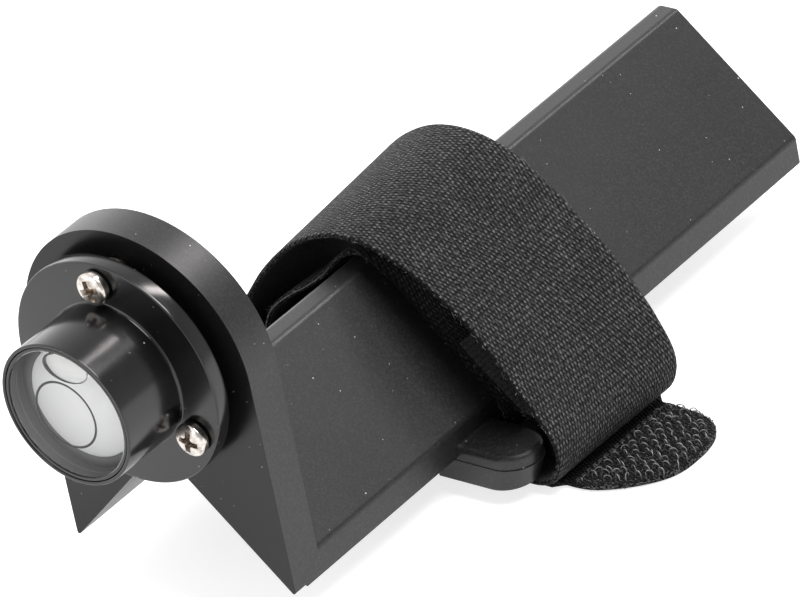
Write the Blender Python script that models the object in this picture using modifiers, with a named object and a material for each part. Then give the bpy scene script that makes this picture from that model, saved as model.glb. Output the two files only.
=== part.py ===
# Rod level: a V-shaped bracket that is strapped to the corner of a levelling
# rod, with a round bubble vial on its head plate.
#
# The model is built in millimetres in the bracket's own frame and hung on one
# empty that places it in the world:
#   x  across the bracket, 0 on its symmetry plane
#   y  along the bracket, 0 on the front face of the head plate, + to the tail
#   z  up, 0 at the pointed tips of the head plate and of the two wings
# The world origin is the middle of the strap's underside, which is what the
# level rests on when it is laid down.

import math

import bmesh
import bpy
from mathutils import Matrix, Vector

# ---------------------------------------------------------------- dimensions
# bracket
PLATE_R = 22.5          # half width of the head plate, and radius of its top
PLATE_T = 6.85          # head plate thickness
ARC_Z = 39.6            # centre of the plate's round top above the tips
BODY_LEN = 138.2        # head plate front to tail end
WING_TIP_H = 5.15       # height of the upright edge along each wing
RIDGE_Z = 26.04         # flat along the ridge
RIDGE_HALF = 1.61       # half width of that flat
EDGE_R = 0.9            # soft edge of the head plate
TIP_FLAT = 0.35         # the tips are blunted to this height

# strap ears
EAR_Y0 = 42.0           # front face of the front lug
LUG_W = 10.3            # width of the front lug along y
LUG_X = 35.2            # reach of the front lug from the symmetry plane
REAR_W = 1.9            # the rear lug is thin and reaches no further than the bar
EAR_BOT = -4.33
EAR_TOP = 2.3
EAR_SPLIT = -0.2        # the lugs widen up to this height
EAR_IN = 18.0           # inner edge of the ear below the wing tip
RAIL_X = 23.3           # inner wall of the slot
RAIL_TOP = 1.5
SLOT_LEN = 31.3         # slot length along y
BAR_IN = 27.5           # outer wall of the slot
BAR_X = 32.0            # outer face of the strap bar, set back from the lugs
BAR_BOT = -2.7
BAR_TOP = 2.0
LUG_LEAN = 0.40         # outward lean of the lugs' ends below that height

# vial head
GAP = 2.47              # flange stands this far off the plate
FLANGE_R = 19.88
FLANGE_T = 2.86
BARREL_R = 12.63
HEAD_FRONT = 18.1       # front rim of the barrel ahead of the plate
BORE_R = 12.03
SEAT = 8.9              # shoulder that the vial stands on
BACK_R = 9.5

# adjusting screws
SCREW_PCR = 16.17       # the three screws stand on this radius
SCREW_ANGLES = (("top", 90.0), ("right", -30.0), ("left", 210.0))
SCREW_R = 1.45
HEAD_R = 2.85
HEAD_H = 1.95
SCREW_HOLE_R = 1.75
INSERT_R = 2.3
FRONT_D = 1.6           # the inserts sit this far behind the plate's face
SCREW_D = 5.3           # depth of the screws' ends

# vial
LENS_R = 11.73
WINDOW_R = 11.15
CUP_IN_R = 10.9
DISC_R = 9.4
BUBBLE = (4.4, 2.55, 1.15)     # half sizes across, radially and in depth
BUBBLE_UP = 7.5                # bubble centre above the vial axis at rest

# strap
STRAP_W = 30.4
STRAP_T = 1.1
LAYER = 1.45            # spacing of two layers that lie on each other
UNDER_Z = -5.23         # middle of the layer that passes under the ears
TIP_X = 34.75           # the free tip bends here
TAB_X = 37.9            # the hook tab starts here
# outline of the free tip, from its head-side root round to its tail-side root
TIP_LINE = [(36.2, 51.0), (40.0, 51.25), (42.8, 52.25), (45.3, 53.75), (47.5, 55.5),
            (49.3, 57.3), (50.9, 59.4), (52.0, 62.0), (52.5, 65.3), (52.4, 68.5),
            (51.5, 71.2), (49.6, 73.1), (47.0, 74.4), (44.4, 75.1), (41.0, 75.4),
            (36.6, 75.9)]

# world placing
ORIGIN_Y = 62.9         # middle of the strap along y
REST_Z = -(UNDER_Z - LAYER - STRAP_T / 2.0)   # underside of the lowest layer

MM = 0.001

# ------------------------------------------------------------------ the scene
for old in list(bpy.data.objects):
    bpy.data.objects.remove(old, do_unlink=True)

scene = bpy.context.scene
parts = bpy.data.collections.new("rod_level")
scene.collection.children.link(parts)
cutters = bpy.data.collections.new("rod_level_cutters")
scene.collection.children.link(cutters)

root = bpy.data.objects.new("rod_level_frame", None)
root.location = (0.0, -ORIGIN_Y * MM, REST_Z * MM)
parts.objects.link(root)

FORWARD = Matrix.Rotation(math.radians(90.0), 4, "X")   # local +z to -y


def material(name, color, rough, metal=0.0):
    mat = bpy.data.materials.new(name)
    mat.use_nodes = True
    bsdf = mat.node_tree.nodes["Principled BSDF"]
    bsdf.inputs["Base Color"].default_value = (*color, 1.0)
    bsdf.inputs["Roughness"].default_value = rough
    bsdf.inputs["Metallic"].default_value = metal
    mat.diffuse_color = (*color, 1.0)
    return mat


BLACK_MOULDED = material("black_moulded", (0.030, 0.030, 0.032), 0.48)
BLACK_GLOSS = material("black_gloss_metal", (0.012, 0.012, 0.013), 0.16, 0.4)
NICKEL = material("bright_screw", (0.78, 0.76, 0.72), 0.22, 1.0)
SPRING_STEEL = material("spring_steel", (0.045, 0.043, 0.042), 0.4, 0.6)
BRASS = material("brass", (0.70, 0.52, 0.24), 0.35, 1.0)
WHITE = material("white_disc", (0.86, 0.87, 0.86), 0.5)
CLEAR = material("clear_lens", (0.92, 0.94, 0.94), 0.03)
RUBBER = material("black_rubber", (0.02, 0.02, 0.02), 0.7)
CUP_BLACK = material("vial_cup_grey", (0.07, 0.07, 0.075), 0.45)
BUBBLE_MAT = material("bubble", (0.80, 0.82, 0.82), 0.1)
WEBBING = material("strap_webbing", (0.035, 0.035, 0.037), 0.9)
HOOKS = material("hook_tape", (0.05, 0.05, 0.052), 0.6)


def link(obj, mat=None, cutter=False):
    (cutters if cutter else parts).objects.link(obj)
    if cutter:
        obj.hide_render = True
        obj.display_type = "WIRE"
    if mat is not None:
        obj.data.materials.clear()
        obj.data.materials.append(mat)
    obj.parent = root
    return obj


def finish(obj, angle=35.0):
    obj.data.shade_smooth()
    obj.data.set_sharp_from_angle(angle=math.radians(angle))
    return obj


def evaluated_copy(obj, name):
    """A plain mesh object with obj's evaluated shape; obj is removed."""
    deps = bpy.context.evaluated_depsgraph_get()
    deps.update()
    mesh = bpy.data.meshes.new_from_object(obj.evaluated_get(deps), depsgraph=deps)
    place = obj.matrix_basis.copy()
    bpy.data.objects.remove(obj, do_unlink=True)
    bm = bmesh.new()
    bm.from_mesh(mesh)
    bmesh.ops.remove_doubles(bm, verts=bm.verts, dist=1e-6)
    bm.transform(place)
    bmesh.ops.recalc_face_normals(bm, faces=bm.faces)
    bm.to_mesh(mesh)
    bm.free()
    out = bpy.data.objects.new(name, mesh)
    return out


def outline_solid(name, rings, low, high, place):
    """A flat outline (mm) with optional holes, filled and given thickness.

    rings lie in the local xy plane; the solid runs from low to high along
    local z, and place then puts it in the bracket's frame."""
    curve = bpy.data.curves.new(name, "CURVE")
    curve.dimensions = "2D"
    curve.fill_mode = "BOTH"
    curve.extrude = (high - low) / 2.0 * MM
    for ring in rings:
        spline = curve.splines.new("POLY")
        spline.points.add(len(ring) - 1)
        for point, (x, y) in zip(spline.points, ring):
            point.co = (x * MM, y * MM, 0.0, 1.0)
        spline.use_cyclic_u = True
    obj = bpy.data.objects.new(name, curve)
    parts.objects.link(obj)
    obj.matrix_basis = place @ Matrix.Translation((0, 0, (low + high) / 2.0 * MM))
    return evaluated_copy(obj, name)


def arc(cx, cy, r, a0, a1, n):
    return [(cx + r * math.cos(math.radians(a0 + (a1 - a0) * i / n)),
             cy + r * math.sin(math.radians(a0 + (a1 - a0) * i / n)))
            for i in range(n + 1)]


def box_solid(name, low, high):
    bm = bmesh.new()
    size = [(h - l) * MM for l, h in zip(low, high)]
    mid = [(h + l) / 2.0 * MM for l, h in zip(low, high)]
    bmesh.ops.create_cube(bm, size=1.0,
                          matrix=Matrix.Translation(mid) @ Matrix.Diagonal((*size, 1.0)))
    mesh = bpy.data.meshes.new(name)
    bm.to_mesh(mesh)
    bm.free()
    return bpy.data.objects.new(name, mesh)


def rod_solid(name, r, low, high, place, n=32, r_top=None):
    """A cylinder or cone about local z from low to high, in mm."""
    bm = bmesh.new()
    bmesh.ops.create_cone(bm, cap_ends=True, segments=n, radius1=r * MM,
                          radius2=(r if r_top is None else r_top) * MM,
                          depth=(high - low) * MM,
                          matrix=place @ Matrix.Translation((0, 0, (high + low) / 2.0 * MM)))
    mesh = bpy.data.meshes.new(name)
    bm.to_mesh(mesh)
    bm.free()
    return bpy.data.objects.new(name, mesh)


def turned(name, profile, place, steps=64):
    """A closed profile of (radius, height) points in mm, turned about local z.

    The profile runs down its outer side and back up its inner side. A point
    at radius 0 is on the axis, and the turn is welded there."""
    mesh = bpy.data.meshes.new(name)
    bm = bmesh.new()
    verts = [bm.verts.new((r * MM, 0.0, z * MM)) for r, z in profile]
    count = len(verts)
    on_axis = profile[0][0] == 0.0 and profile[-1][0] == 0.0
    for i in range(count - 1 if on_axis else count):
        bm.edges.new((verts[i], verts[(i + 1) % count]))
    bm.to_mesh(mesh)
    bm.free()
    obj = bpy.data.objects.new(name, mesh)
    parts.objects.link(obj)
    screw = obj.modifiers.new("turn", "SCREW")
    screw.axis = "Z"
    screw.angle = math.radians(360.0)
    screw.steps = steps
    screw.render_steps = steps
    screw.use_merge_vertices = True
    screw.merge_threshold = 0.000001
    screw.use_smooth_shade = True
    obj.matrix_basis = place
    return evaluated_copy(obj, name)


def bevel_edges(obj, pick, width, segments):
    """Rounds the edges for which pick(a, b, angle) is true; a, b in mm."""
    bm = bmesh.new()
    bm.from_mesh(obj.data)
    edges = []
    for edge in bm.edges:
        if len(edge.link_faces) != 2:
            continue
        angle = math.degrees(edge.calc_face_angle(0.0))
        a, b = (v.co / MM for v in edge.verts)
        if angle > 20.0 and pick(a, b, angle):
            edges.append(edge)
    bmesh.ops.bevel(bm, geom=edges, offset=width * MM, offset_type="OFFSET",
                    segments=segments, profile=0.5, affect="EDGES",
                    clamp_overlap=True)
    bm.to_mesh(obj.data)
    bm.free()
    return obj


def combine(obj, other, operation):
    mod = obj.modifiers.new(operation.lower() + "_" + other.name, "BOOLEAN")
    mod.operation = operation
    mod.solver = "EXACT"
    mod.object = other
    return obj


# -------------------------------------------------------------------- bracket
def upright(x=0.0, y=0.0, z=0.0):
    """Local xy to world xz, local z to -y: for outlines seen from the front."""
    return Matrix.Translation((x * MM, y * MM, z * MM)) @ FORWARD


# the plate and the two wings, both still without the groove
plate_outline = ([(-PLATE_R, TIP_FLAT), (PLATE_R, TIP_FLAT)]
                 + arc(0.0, ARC_Z, PLATE_R, 0.0, 180.0, 44))
bracket = outline_solid("bracket", [plate_outline], -PLATE_T, 0.0, upright())
# soft front and back edges all round the plate's outside
bevel_edges(bracket,
            lambda a, b, angle: abs(a.y - b.y) < 0.01
            and max(a.z, b.z) > TIP_FLAT + 0.01,
            EDGE_R, 2)
link(bracket, BLACK_MOULDED)

WING_X = PLATE_R - 0.02
wing_outline = [(-WING_X, TIP_FLAT + 0.02), (WING_X, TIP_FLAT + 0.02),
                (WING_X, WING_TIP_H + 0.02), (RIDGE_HALF, RIDGE_Z),
                (-RIDGE_HALF, RIDGE_Z), (-WING_X, WING_TIP_H + 0.02)]
wings = outline_solid("wings", [wing_outline], -BODY_LEN, -3.0, upright())
# soft edges along the wings and round the tail end
bevel_edges(wings,
            lambda a, b, angle: a.z + b.z > 2.0 and (
                (a.y > BODY_LEN - 0.01 and b.y > BODY_LEN - 0.01)
                or abs(a.y - b.y) > 50.0),
            0.5, 2)
link(wings, cutter=True)
combine(bracket, wings, "UNION")

SLOT_Y0 = EAR_Y0 + LUG_W
SLOT_Y1 = SLOT_Y0 + SLOT_LEN


def lug_solid(name, sign, lean, outline, soft):
    """A lug with the given outline beyond its root, whose end widens up to
    EAR_SPLIT; where soft is given, its top edge is rounded by it."""
    bm = bmesh.new()
    rings = []
    for level in (EAR_BOT, EAR_SPLIT, EAR_TOP):
        out = lean * min(level - EAR_SPLIT, 0.0)
        ring = [(EAR_IN, outline[0][1])] + [(x + out, y) for x, y in outline]
        ring += [(EAR_IN, outline[-1][1])]
        rings.append([bm.verts.new((sign * x * MM, y * MM, level * MM)) for x, y in ring])
    count = len(rings[0])
    for low, high in zip(rings, rings[1:]):
        for i in range(count):
            j = (i + 1) % count
            bm.faces.new((low[i], low[j], high[j], high[i]))
    bm.faces.new(rings[0])
    bm.faces.new(rings[-1][::-1])
    bmesh.ops.recalc_face_normals(bm, faces=bm.faces)
    mesh = bpy.data.meshes.new(name)
    bm.to_mesh(mesh)
    bm.free()
    lug = bpy.data.objects.new(name, mesh)
    if not soft:
        return lug
    bevel_edges(lug, lambda a, b, angle: min(a.z, b.z) > EAR_TOP - 0.01
                and max(abs(a.x), abs(b.x)) > 23.5, soft, 2)
    bevel_edges(lug, lambda a, b, angle: max(a.z, b.z) < EAR_BOT + 0.01
                and max(abs(a.x), abs(b.x)) > 23.5, 0.3, 1)
    return lug


LUG_R = LUG_W / 2.0
FRONT_LUG = arc(LUG_X - LUG_R, EAR_Y0 + LUG_R, LUG_R, -90.0, 90.0, 14)
REAR_LUG = [(28.0 + (BAR_X + 0.05 - 28.0) * math.cos(math.radians(a)),
             SLOT_Y1 + REAR_W * math.sin(math.radians(a))) for a in range(0, 91, 15)]
for side, sign in (("right", 1.0), ("left", -1.0)):
    for end, outline, lean, soft in (("front", FRONT_LUG, LUG_LEAN, 1.0),
                                     ("rear", REAR_LUG, 0.0, 0.0)):
        lug = lug_solid("lug_" + side + "_" + end, sign, lean, outline, soft)
        link(lug, cutter=True)
        combine(bracket, lug, "UNION")
    x0, x1 = sorted((sign * (EAR_IN + 0.3), sign * RAIL_X))
    rail = box_solid("rail_" + side, (x0, SLOT_Y0 - 3.0, EAR_BOT + 0.25),
                     (x1, SLOT_Y1 + REAR_W / 2.0, RAIL_TOP))
    link(rail, cutter=True)
    combine(bracket, rail, "UNION")
    x0, x1 = sorted((sign * BAR_IN, sign * BAR_X))
    bar = box_solid("bar_" + side, (x0, SLOT_Y0 - 3.0, BAR_BOT),
                    (x1, SLOT_Y1 + 0.6, BAR_TOP))
    bevel_edges(bar, lambda a, b, angle: abs(a.y - b.y) > 10.0, 0.9, 2)
    link(bar, cutter=True)
    combine(bracket, bar, "UNION")

# the groove that takes the corner of a rod
groove = outline_solid("groove", [[(-PLATE_R, 0.0), (PLATE_R, 0.0), (0.0, PLATE_R)]],
                       -BODY_LEN - 5.0, 5.0, upright())
link(groove, cutter=True)
combine(bracket, groove, "DIFFERENCE")


def screw_place(angle):
    """Local z forward along a screw's axis, local origin on the plate's face."""
    x = SCREW_PCR * math.cos(math.radians(angle))
    z = ARC_Z + SCREW_PCR * math.sin(math.radians(angle))
    return upright(x, 0.0, z)


for name, angle in SCREW_ANGLES:
    place = screw_place(angle)
    profile = [(0.0, 1.0), (SCREW_HOLE_R + 0.1, 1.0), (SCREW_HOLE_R + 0.1, -FRONT_D),
               (INSERT_R + 0.3, -FRONT_D), (INSERT_R + 0.3, -PLATE_T - 1.0), (0.0, -PLATE_T - 1.0)]
    hole = turned("insert_hole_" + name, profile, place, 20)
    link(hole, cutter=True)
    combine(bracket, hole, "DIFFERENCE")
finish(bracket)

# threaded inserts, pressed into the back of the plate behind the screws
for name, angle in SCREW_ANGLES:
    top = -(FRONT_D + 0.3)
    low = -(PLATE_T - 0.3)
    profile = [(SCREW_HOLE_R + 0.15, top), (INSERT_R, top), (INSERT_R, low),
               (SCREW_HOLE_R, low), (SCREW_HOLE_R, top - 0.2)]
    insert = turned("threaded_insert_" + name, profile, screw_place(angle), 20)
    finish(link(insert, BRASS))

# ------------------------------------------------------------------ vial head
axis_place = upright(0.0, 0.0, ARC_Z)
FLANGE_FRONT = GAP + FLANGE_T
housing = turned("vial_housing", [
    (BORE_R + 0.12, HEAD_FRONT), (BARREL_R - 0.28, HEAD_FRONT),
    (BARREL_R, HEAD_FRONT - 0.28), (BARREL_R, FLANGE_FRONT + 0.45),
    (BARREL_R + 0.14, FLANGE_FRONT + 0.14), (BARREL_R + 0.45, FLANGE_FRONT),
    (FLANGE_R - 0.35, FLANGE_FRONT), (FLANGE_R, FLANGE_FRONT - 0.35),
    (FLANGE_R, GAP + 0.35), (FLANGE_R - 0.35, GAP), (BACK_R, GAP),
    (BACK_R, SEAT), (BORE_R, SEAT), (BORE_R, HEAD_FRONT - 0.12)], axis_place, 64)
link(housing, BLACK_GLOSS)
for name, angle in SCREW_ANGLES:
    hole = rod_solid("flange_hole_" + name, SCREW_HOLE_R, GAP - 1.0, FLANGE_FRONT + 1.0,
                     screw_place(angle), 24)
    link(hole, cutter=True)
    combine(housing, hole, "DIFFERENCE")
finish(housing)

CUP_LOW = SEAT + 0.3
CUP_FLOOR = CUP_LOW + 1.2
CUP_TOP = 13.75
cup = turned("vial_cup", [
    (0.0, CUP_FLOOR), (CUP_IN_R, CUP_FLOOR), (CUP_IN_R, CUP_TOP), (LENS_R, CUP_TOP),
    (LENS_R, CUP_LOW + 0.3), (LENS_R - 0.3, CUP_LOW), (0.0, CUP_LOW)], axis_place, 48)
finish(link(cup, CUP_BLACK))

disc = turned("target_disc", [
    (0.0, CUP_FLOOR + 1.1), (DISC_R - 0.1, CUP_FLOOR + 1.1), (DISC_R, CUP_FLOOR + 1.0),
    (DISC_R, CUP_FLOOR + 0.3), (0.0, CUP_FLOOR + 0.3)], axis_place, 48)
finish(link(disc, WHITE))

SEAL_LOW = CUP_TOP + 0.3
seal = turned("vial_seal", [
    (CUP_IN_R + 0.35, SEAL_LOW + 0.4), (LENS_R - 0.2, SEAL_LOW + 0.4),
    (LENS_R - 0.2, SEAL_LOW), (CUP_IN_R + 0.35, SEAL_LOW)], axis_place, 48)
finish(link(seal, RUBBER))

LENS_LOW = SEAL_LOW + 0.7
LENS_TOP = 17.9
LENS_STEP = 17.05
# the underside is slightly hollow, so that the bubble seeks the middle
hollow = [(CUP_IN_R * i / 4.0, LENS_LOW + 0.35 * (1.0 - (i / 4.0) ** 2)) for i in range(4, -1, -1)]
lens = turned("vial_lens", [
    (0.0, LENS_TOP), (WINDOW_R - 0.2, LENS_TOP), (WINDOW_R, LENS_TOP - 0.2),
    (WINDOW_R, LENS_STEP), (LENS_R, LENS_STEP), (LENS_R, LENS_LOW)] + hollow, axis_place, 48)
finish(link(lens, CLEAR), 25.0)

bezel = turned("bezel_ring", [
    (WINDOW_R + 0.3, 17.95), (LENS_R, 17.95), (LENS_R, LENS_STEP + 0.3),
    (WINDOW_R + 0.3, LENS_STEP + 0.3)], axis_place, 48)
finish(link(bezel, BLACK_GLOSS))

# bubble: flattened against the top of the vial, just under the lens
bm = bmesh.new()
bmesh.ops.create_uvsphere(bm, u_segments=20, v_segments=10, radius=1.0)
bubble_depth = LENS_LOW - 0.15 - BUBBLE[2]
bm.transform(Matrix.Translation((0.0, -bubble_depth * MM, (ARC_Z + BUBBLE_UP) * MM))
             @ Matrix.Diagonal((BUBBLE[0] * MM, BUBBLE[2] * MM, BUBBLE[1] * MM, 1.0)))
mesh = bpy.data.meshes.new("bubble")
bm.to_mesh(mesh)
bm.free()
bubble = bpy.data.objects.new("bubble", mesh)
finish(link(bubble, BUBBLE_MAT))

# ----------------------------------------------------- screws and their springs
HEAD_LOW = FLANGE_FRONT + 0.3
SCREW_END = -SCREW_D
for name, angle in SCREW_ANGLES:
    dome = [(HEAD_R * math.sin(math.radians(a)), HEAD_LOW + HEAD_H * (0.55 + 0.45 * math.cos(math.radians(a))))
            for a in (0, 30, 55, 75, 90)]
    profile = dome + [
        (HEAD_R, HEAD_LOW + 0.25), (HEAD_R - 0.2, HEAD_LOW), (SCREW_R, HEAD_LOW),
        (SCREW_R, SCREW_END + 0.4), (SCREW_R - 0.4, SCREW_END),
        (0.0, SCREW_END)]
    place = screw_place(angle)
    screw = turned("adjusting_screw_" + name, profile, place, 24)
    # cross recess: two tapering slots and a pointed middle
    for k in range(2):
        arm = rod_solid("recess_%s_%d" % (name, k), 1.0, 0.0, 1.5, Matrix.Identity(4), 4)
        bm = bmesh.new()
        bm.from_mesh(arm.data)
        for vert in bm.verts:
            turn = Matrix.Rotation(math.radians(45.0), 4, "Z") @ vert.co
            high = turn.z > 0.7 * MM
            half_long = 1.75 if high else 0.85
            half_wide = 0.40 if high else 0.26
            turn.x = math.copysign(half_long * MM, turn.x)
            turn.y = math.copysign(half_wide * MM, turn.y)
            vert.co = turn
        twist = Matrix.Rotation(math.radians(18.0 + 90.0 * k + angle), 4, "Z")
        lift = Matrix.Translation((0, 0, (HEAD_LOW + HEAD_H - 1.25) * MM))
        bm.transform(place @ lift @ twist)
        bm.to_mesh(arm.data)
        bm.free()
        link(arm, cutter=True)
        combine(screw, arm, "DIFFERENCE")
    finish(link(screw, NICKEL))

    # compression spring between the flange and the plate
    wire = 0.22
    low = 0.3 + wire
    high = GAP - 0.3 - wire
    turns = 2.25
    per_turn = 10
    count = int(turns * per_turn) + 1
    curve = bpy.data.curves.new("spring_" + name, "CURVE")
    curve.dimensions = "3D"
    curve.bevel_depth = wire * MM
    curve.bevel_resolution = 2
    curve.use_fill_caps = True
    spline = curve.splines.new("POLY")
    spline.points.add(count - 1)
    for i in range(count):
        t = i / (count - 1)
        a = 2.0 * math.pi * turns * t
        spline.points[i].co = (2.1 * MM * math.cos(a), 2.1 * MM * math.sin(a),
                               (low + (high - low) * t) * MM, 1.0)
    coil = bpy.data.objects.new("coil_" + name, curve)
    parts.objects.link(coil)
    coil.matrix_basis = place
    finish(link(evaluated_copy(coil, "spring_" + name), SPRING_STEEL))

# ---------------------------------------------------------------------- strap
# Stations along the middle of the strap's thickness, from the sewn end round
# the right ear's bar, up over the ridge, down through the left ear's slot,
# under the bracket, round everything a second time as a slack loop, and under
# it again. Each is (x, z) at the head-side edge, (x, z) at the tail-side edge,
# and y of the head-side edge.
STANDOFF = STRAP_T / 2.0 + 0.35


def on_face(x, out, side=1.0):
    """A point out mm off a wing's upper face, above the face's point at x."""
    z = PLATE_R + WING_TIP_H - x
    return (side * (x + out * math.sqrt(0.5)), z + out * math.sqrt(0.5))


Y_TIGHT = SLOT_Y0 + 0.55
stations = []


def station(near, far=None, y=Y_TIGHT):
    stations.append((near, far if far is not None else near, y))


# sewn end, turned back over the right bar
station(on_face(15.5, STANDOFF + LAYER + 0.25))
station(on_face(18.5, STANDOFF + LAYER + 0.1))
station((24.5, 6.9))
station((28.4, 3.5))
station((31.9, 2.55))
station((32.95, 0.9))
station((32.95, -1.7))
station((31.9, -3.55))
station((28.4, -3.6))
station((25.9, -2.6))
station((24.75, -0.3))
station((24.2, 2.2))
station((23.65, 4.6))
# up the right face, over the ridge and down the left face
station(on_face(19.5, STANDOFF + 0.05))
station(on_face(14.0, STANDOFF + 0.05))
station(on_face(9.0, STANDOFF + 0.35))
station(on_face(4.2, STANDOFF + 0.3))
station((0.0, RIDGE_Z + STANDOFF + 0.25))
station(on_face(4.2, STANDOFF + 0.2, -1.0))
station(on_face(9.0, STANDOFF + 0.5, -1.0))
station(on_face(13.0, STANDOFF + 1.6, -1.0))
station(on_face(17.2, STANDOFF + 2.2, -1.0))
station(on_face(20.8, STANDOFF + 1.5, -1.0))
station((-24.7, 3.0))
station((-24.3, 0.5))
station((-24.25, -3.4))
station((-23.9, -4.7))
station((-23.0, -5.15))
# under the bracket to the right
station((-21.2, UNDER_Z), y=Y_TIGHT - 0.2)
station((-8.0, UNDER_Z), y=Y_TIGHT - 2.0)
station((10.0, UNDER_Z), y=Y_TIGHT - 3.9)
station((26.0, UNDER_Z), y=Y_TIGHT - 5.0)
# the slack outer loop, wider at its tail-side edge
Y_LOOSE = 47.6
station((33.8, -5.25), (34.8, -5.25), Y_LOOSE)
station((36.6, -4.0), (38.1, -3.4), Y_LOOSE)
station((38.35, -0.9), (39.8, -0.2), Y_LOOSE)
station((38.2, 3.0), (40.0, 3.3), Y_LOOSE + 0.1)
station((35.2, 8.3), (37.5, 9.3), Y_LOOSE + 0.2)
station((31.5, 13.2), (34.1, 14.7), Y_LOOSE + 0.3)
station((27.8, 18.1), (29.7, 20.2), Y_LOOSE + 0.5)
station((23.2, 22.7), (24.6, 25.0), Y_LOOSE + 0.8)
station((17.7, 26.7), (18.8, 29.8), Y_LOOSE + 1.1)
station((11.5, 29.9), (12.3, 33.9), Y_LOOSE + 1.5)
station((3.9, 32.0), (4.5, 35.75), Y_LOOSE + 1.9)
station((-3.8, 31.2), (-3.5, 34.7), Y_LOOSE + 2.5)
station((-12.5, 26.8), (-12.0, 30.1), Y_LOOSE + 3.6)
station((-20.8, 19.6), (-20.4, 22.4), Y_LOOSE + 4.7)
station((-26.0, 13.4), (-26.2, 15.6), Y_LOOSE + 5.25)
station((-30.6, 6.8), (-31.0, 8.2), Y_TIGHT)
station((-33.2, 1.2), (-33.5, 2.0), Y_TIGHT)
station((-33.3, -2.6), (-33.4, -2.4), Y_TIGHT)
UNDER_2 = UNDER_Z - LAYER
station((-32.2, -5.2), y=Y_TIGHT - 0.05)
station((-29.6, -6.4), y=Y_TIGHT - 0.2)
station((-26.5, UNDER_2), y=Y_TIGHT - 0.45)
station((-12.0, UNDER_2), y=Y_TIGHT - 1.5)
station((10.0, UNDER_2), y=Y_TIGHT - 2.9)
station((TIP_X - 0.35, UNDER_2), y=Y_LOOSE + 1.9)


def spline_through(points, per_span):
    """Centripetal Catmull-Rom curve through points, per_span steps a span."""
    vecs = [Vector(p) for p in points]
    vecs = [2 * vecs[0] - vecs[1]] + vecs + [2 * vecs[-1] - vecs[-2]]
    out = []
    for i in range(1, len(vecs) - 2):
        p0, p1, p2, p3 = vecs[i - 1:i + 3]
        t0 = 0.0
        t1 = t0 + max((p1 - p0).length, 1e-6) ** 0.5
        t2 = t1 + max((p2 - p1).length, 1e-6) ** 0.5
        t3 = t2 + max((p3 - p2).length, 1e-6) ** 0.5
        for k in range(per_span):
            t = t1 + (t2 - t1) * k / per_span
            a1 = p0 * ((t1 - t) / (t1 - t0)) + p1 * ((t - t0) / (t1 - t0))
            a2 = p1 * ((t2 - t) / (t2 - t1)) + p2 * ((t - t1) / (t2 - t1))
            a3 = p2 * ((t3 - t) / (t3 - t2)) + p3 * ((t - t2) / (t3 - t2))
            b1 = a1 * ((t2 - t) / (t2 - t0)) + a2 * ((t - t0) / (t2 - t0))
            b2 = a2 * ((t3 - t) / (t3 - t1)) + a3 * ((t - t1) / (t3 - t1))
            out.append(b1 * ((t2 - t) / (t2 - t1)) + b2 * ((t - t1) / (t2 - t1)))
    out.append(vecs[-2])
    return out


def settled(points):
    """The lowest layer lies flat on what the level rests on."""
    return [Vector((p.x, p.y, max(p.z, UNDER_2))) for p in points]


near_edge = settled(spline_through([(n[0], y, n[1]) for n, f, y in stations], 3))
far_edge = settled(spline_through([(f[0], y + STRAP_W, f[1]) for n, f, y in stations], 3))
bm = bmesh.new()
rows = []
for a, b in zip(near_edge, far_edge):
    rows.append([bm.verts.new(a * MM), bm.verts.new(b * MM)])
for r0, r1 in zip(rows, rows[1:]):
    bm.faces.new((r0[0], r0[1], r1[1], r1[0]))
mesh = bpy.data.meshes.new("strap_band")
bm.to_mesh(mesh)
bm.free()
strap = bpy.data.objects.new("strap_band", mesh)
shell = strap.modifiers.new("thickness", "SOLIDIFY")
shell.thickness = STRAP_T * MM
shell.offset = 0.0
shell.use_even_offset = True
shell.use_rim = True
finish(link(strap, WEBBING), 60.0)

# free tip of the strap, with the hook tab sewn on it
tip_ring = [(TIP_X + 0.35, TIP_LINE[0][1] - 0.9)]
tip_ring += [(p.x, p.y) for p in spline_through([(x, y, 0.0) for x, y in TIP_LINE], 3)]
tip_ring += [(TIP_X + 0.35, TIP_LINE[-1][1] + 1.6)]
tip = outline_solid("strap_tip", [tip_ring], UNDER_2 - STRAP_T / 2.0,
                    UNDER_2 + STRAP_T / 2.0, Matrix.Identity(4))
finish(link(tip, WEBBING))
middle = (sum(x for x, y in tip_ring) / len(tip_ring), sum(y for x, y in tip_ring) / len(tip_ring))


def drawn_in(x, y, by):
    """A point of the tip's outline moved by mm towards its middle."""
    away = Vector((x - middle[0], y - middle[1]))
    away *= 1.0 - by / away.length
    return (middle[0] + away.x, middle[1] + away.y)


hook_ring = [drawn_in(x, y, 0.35) for x, y in tip_ring if x > TAB_X]
hook_ring = [(TAB_X, hook_ring[0][1])] + hook_ring + [(TAB_X, hook_ring[-1][1])]
hook_tab = outline_solid("hook_tab", [hook_ring], UNDER_2 + STRAP_T / 2.0 + 0.3,
                         UNDER_2 + STRAP_T / 2.0 + 1.3, Matrix.Identity(4))
finish(link(hook_tab, HOOKS))
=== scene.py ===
import math
import random

import bmesh
import bpy
from mathutils import Matrix, Vector


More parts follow.
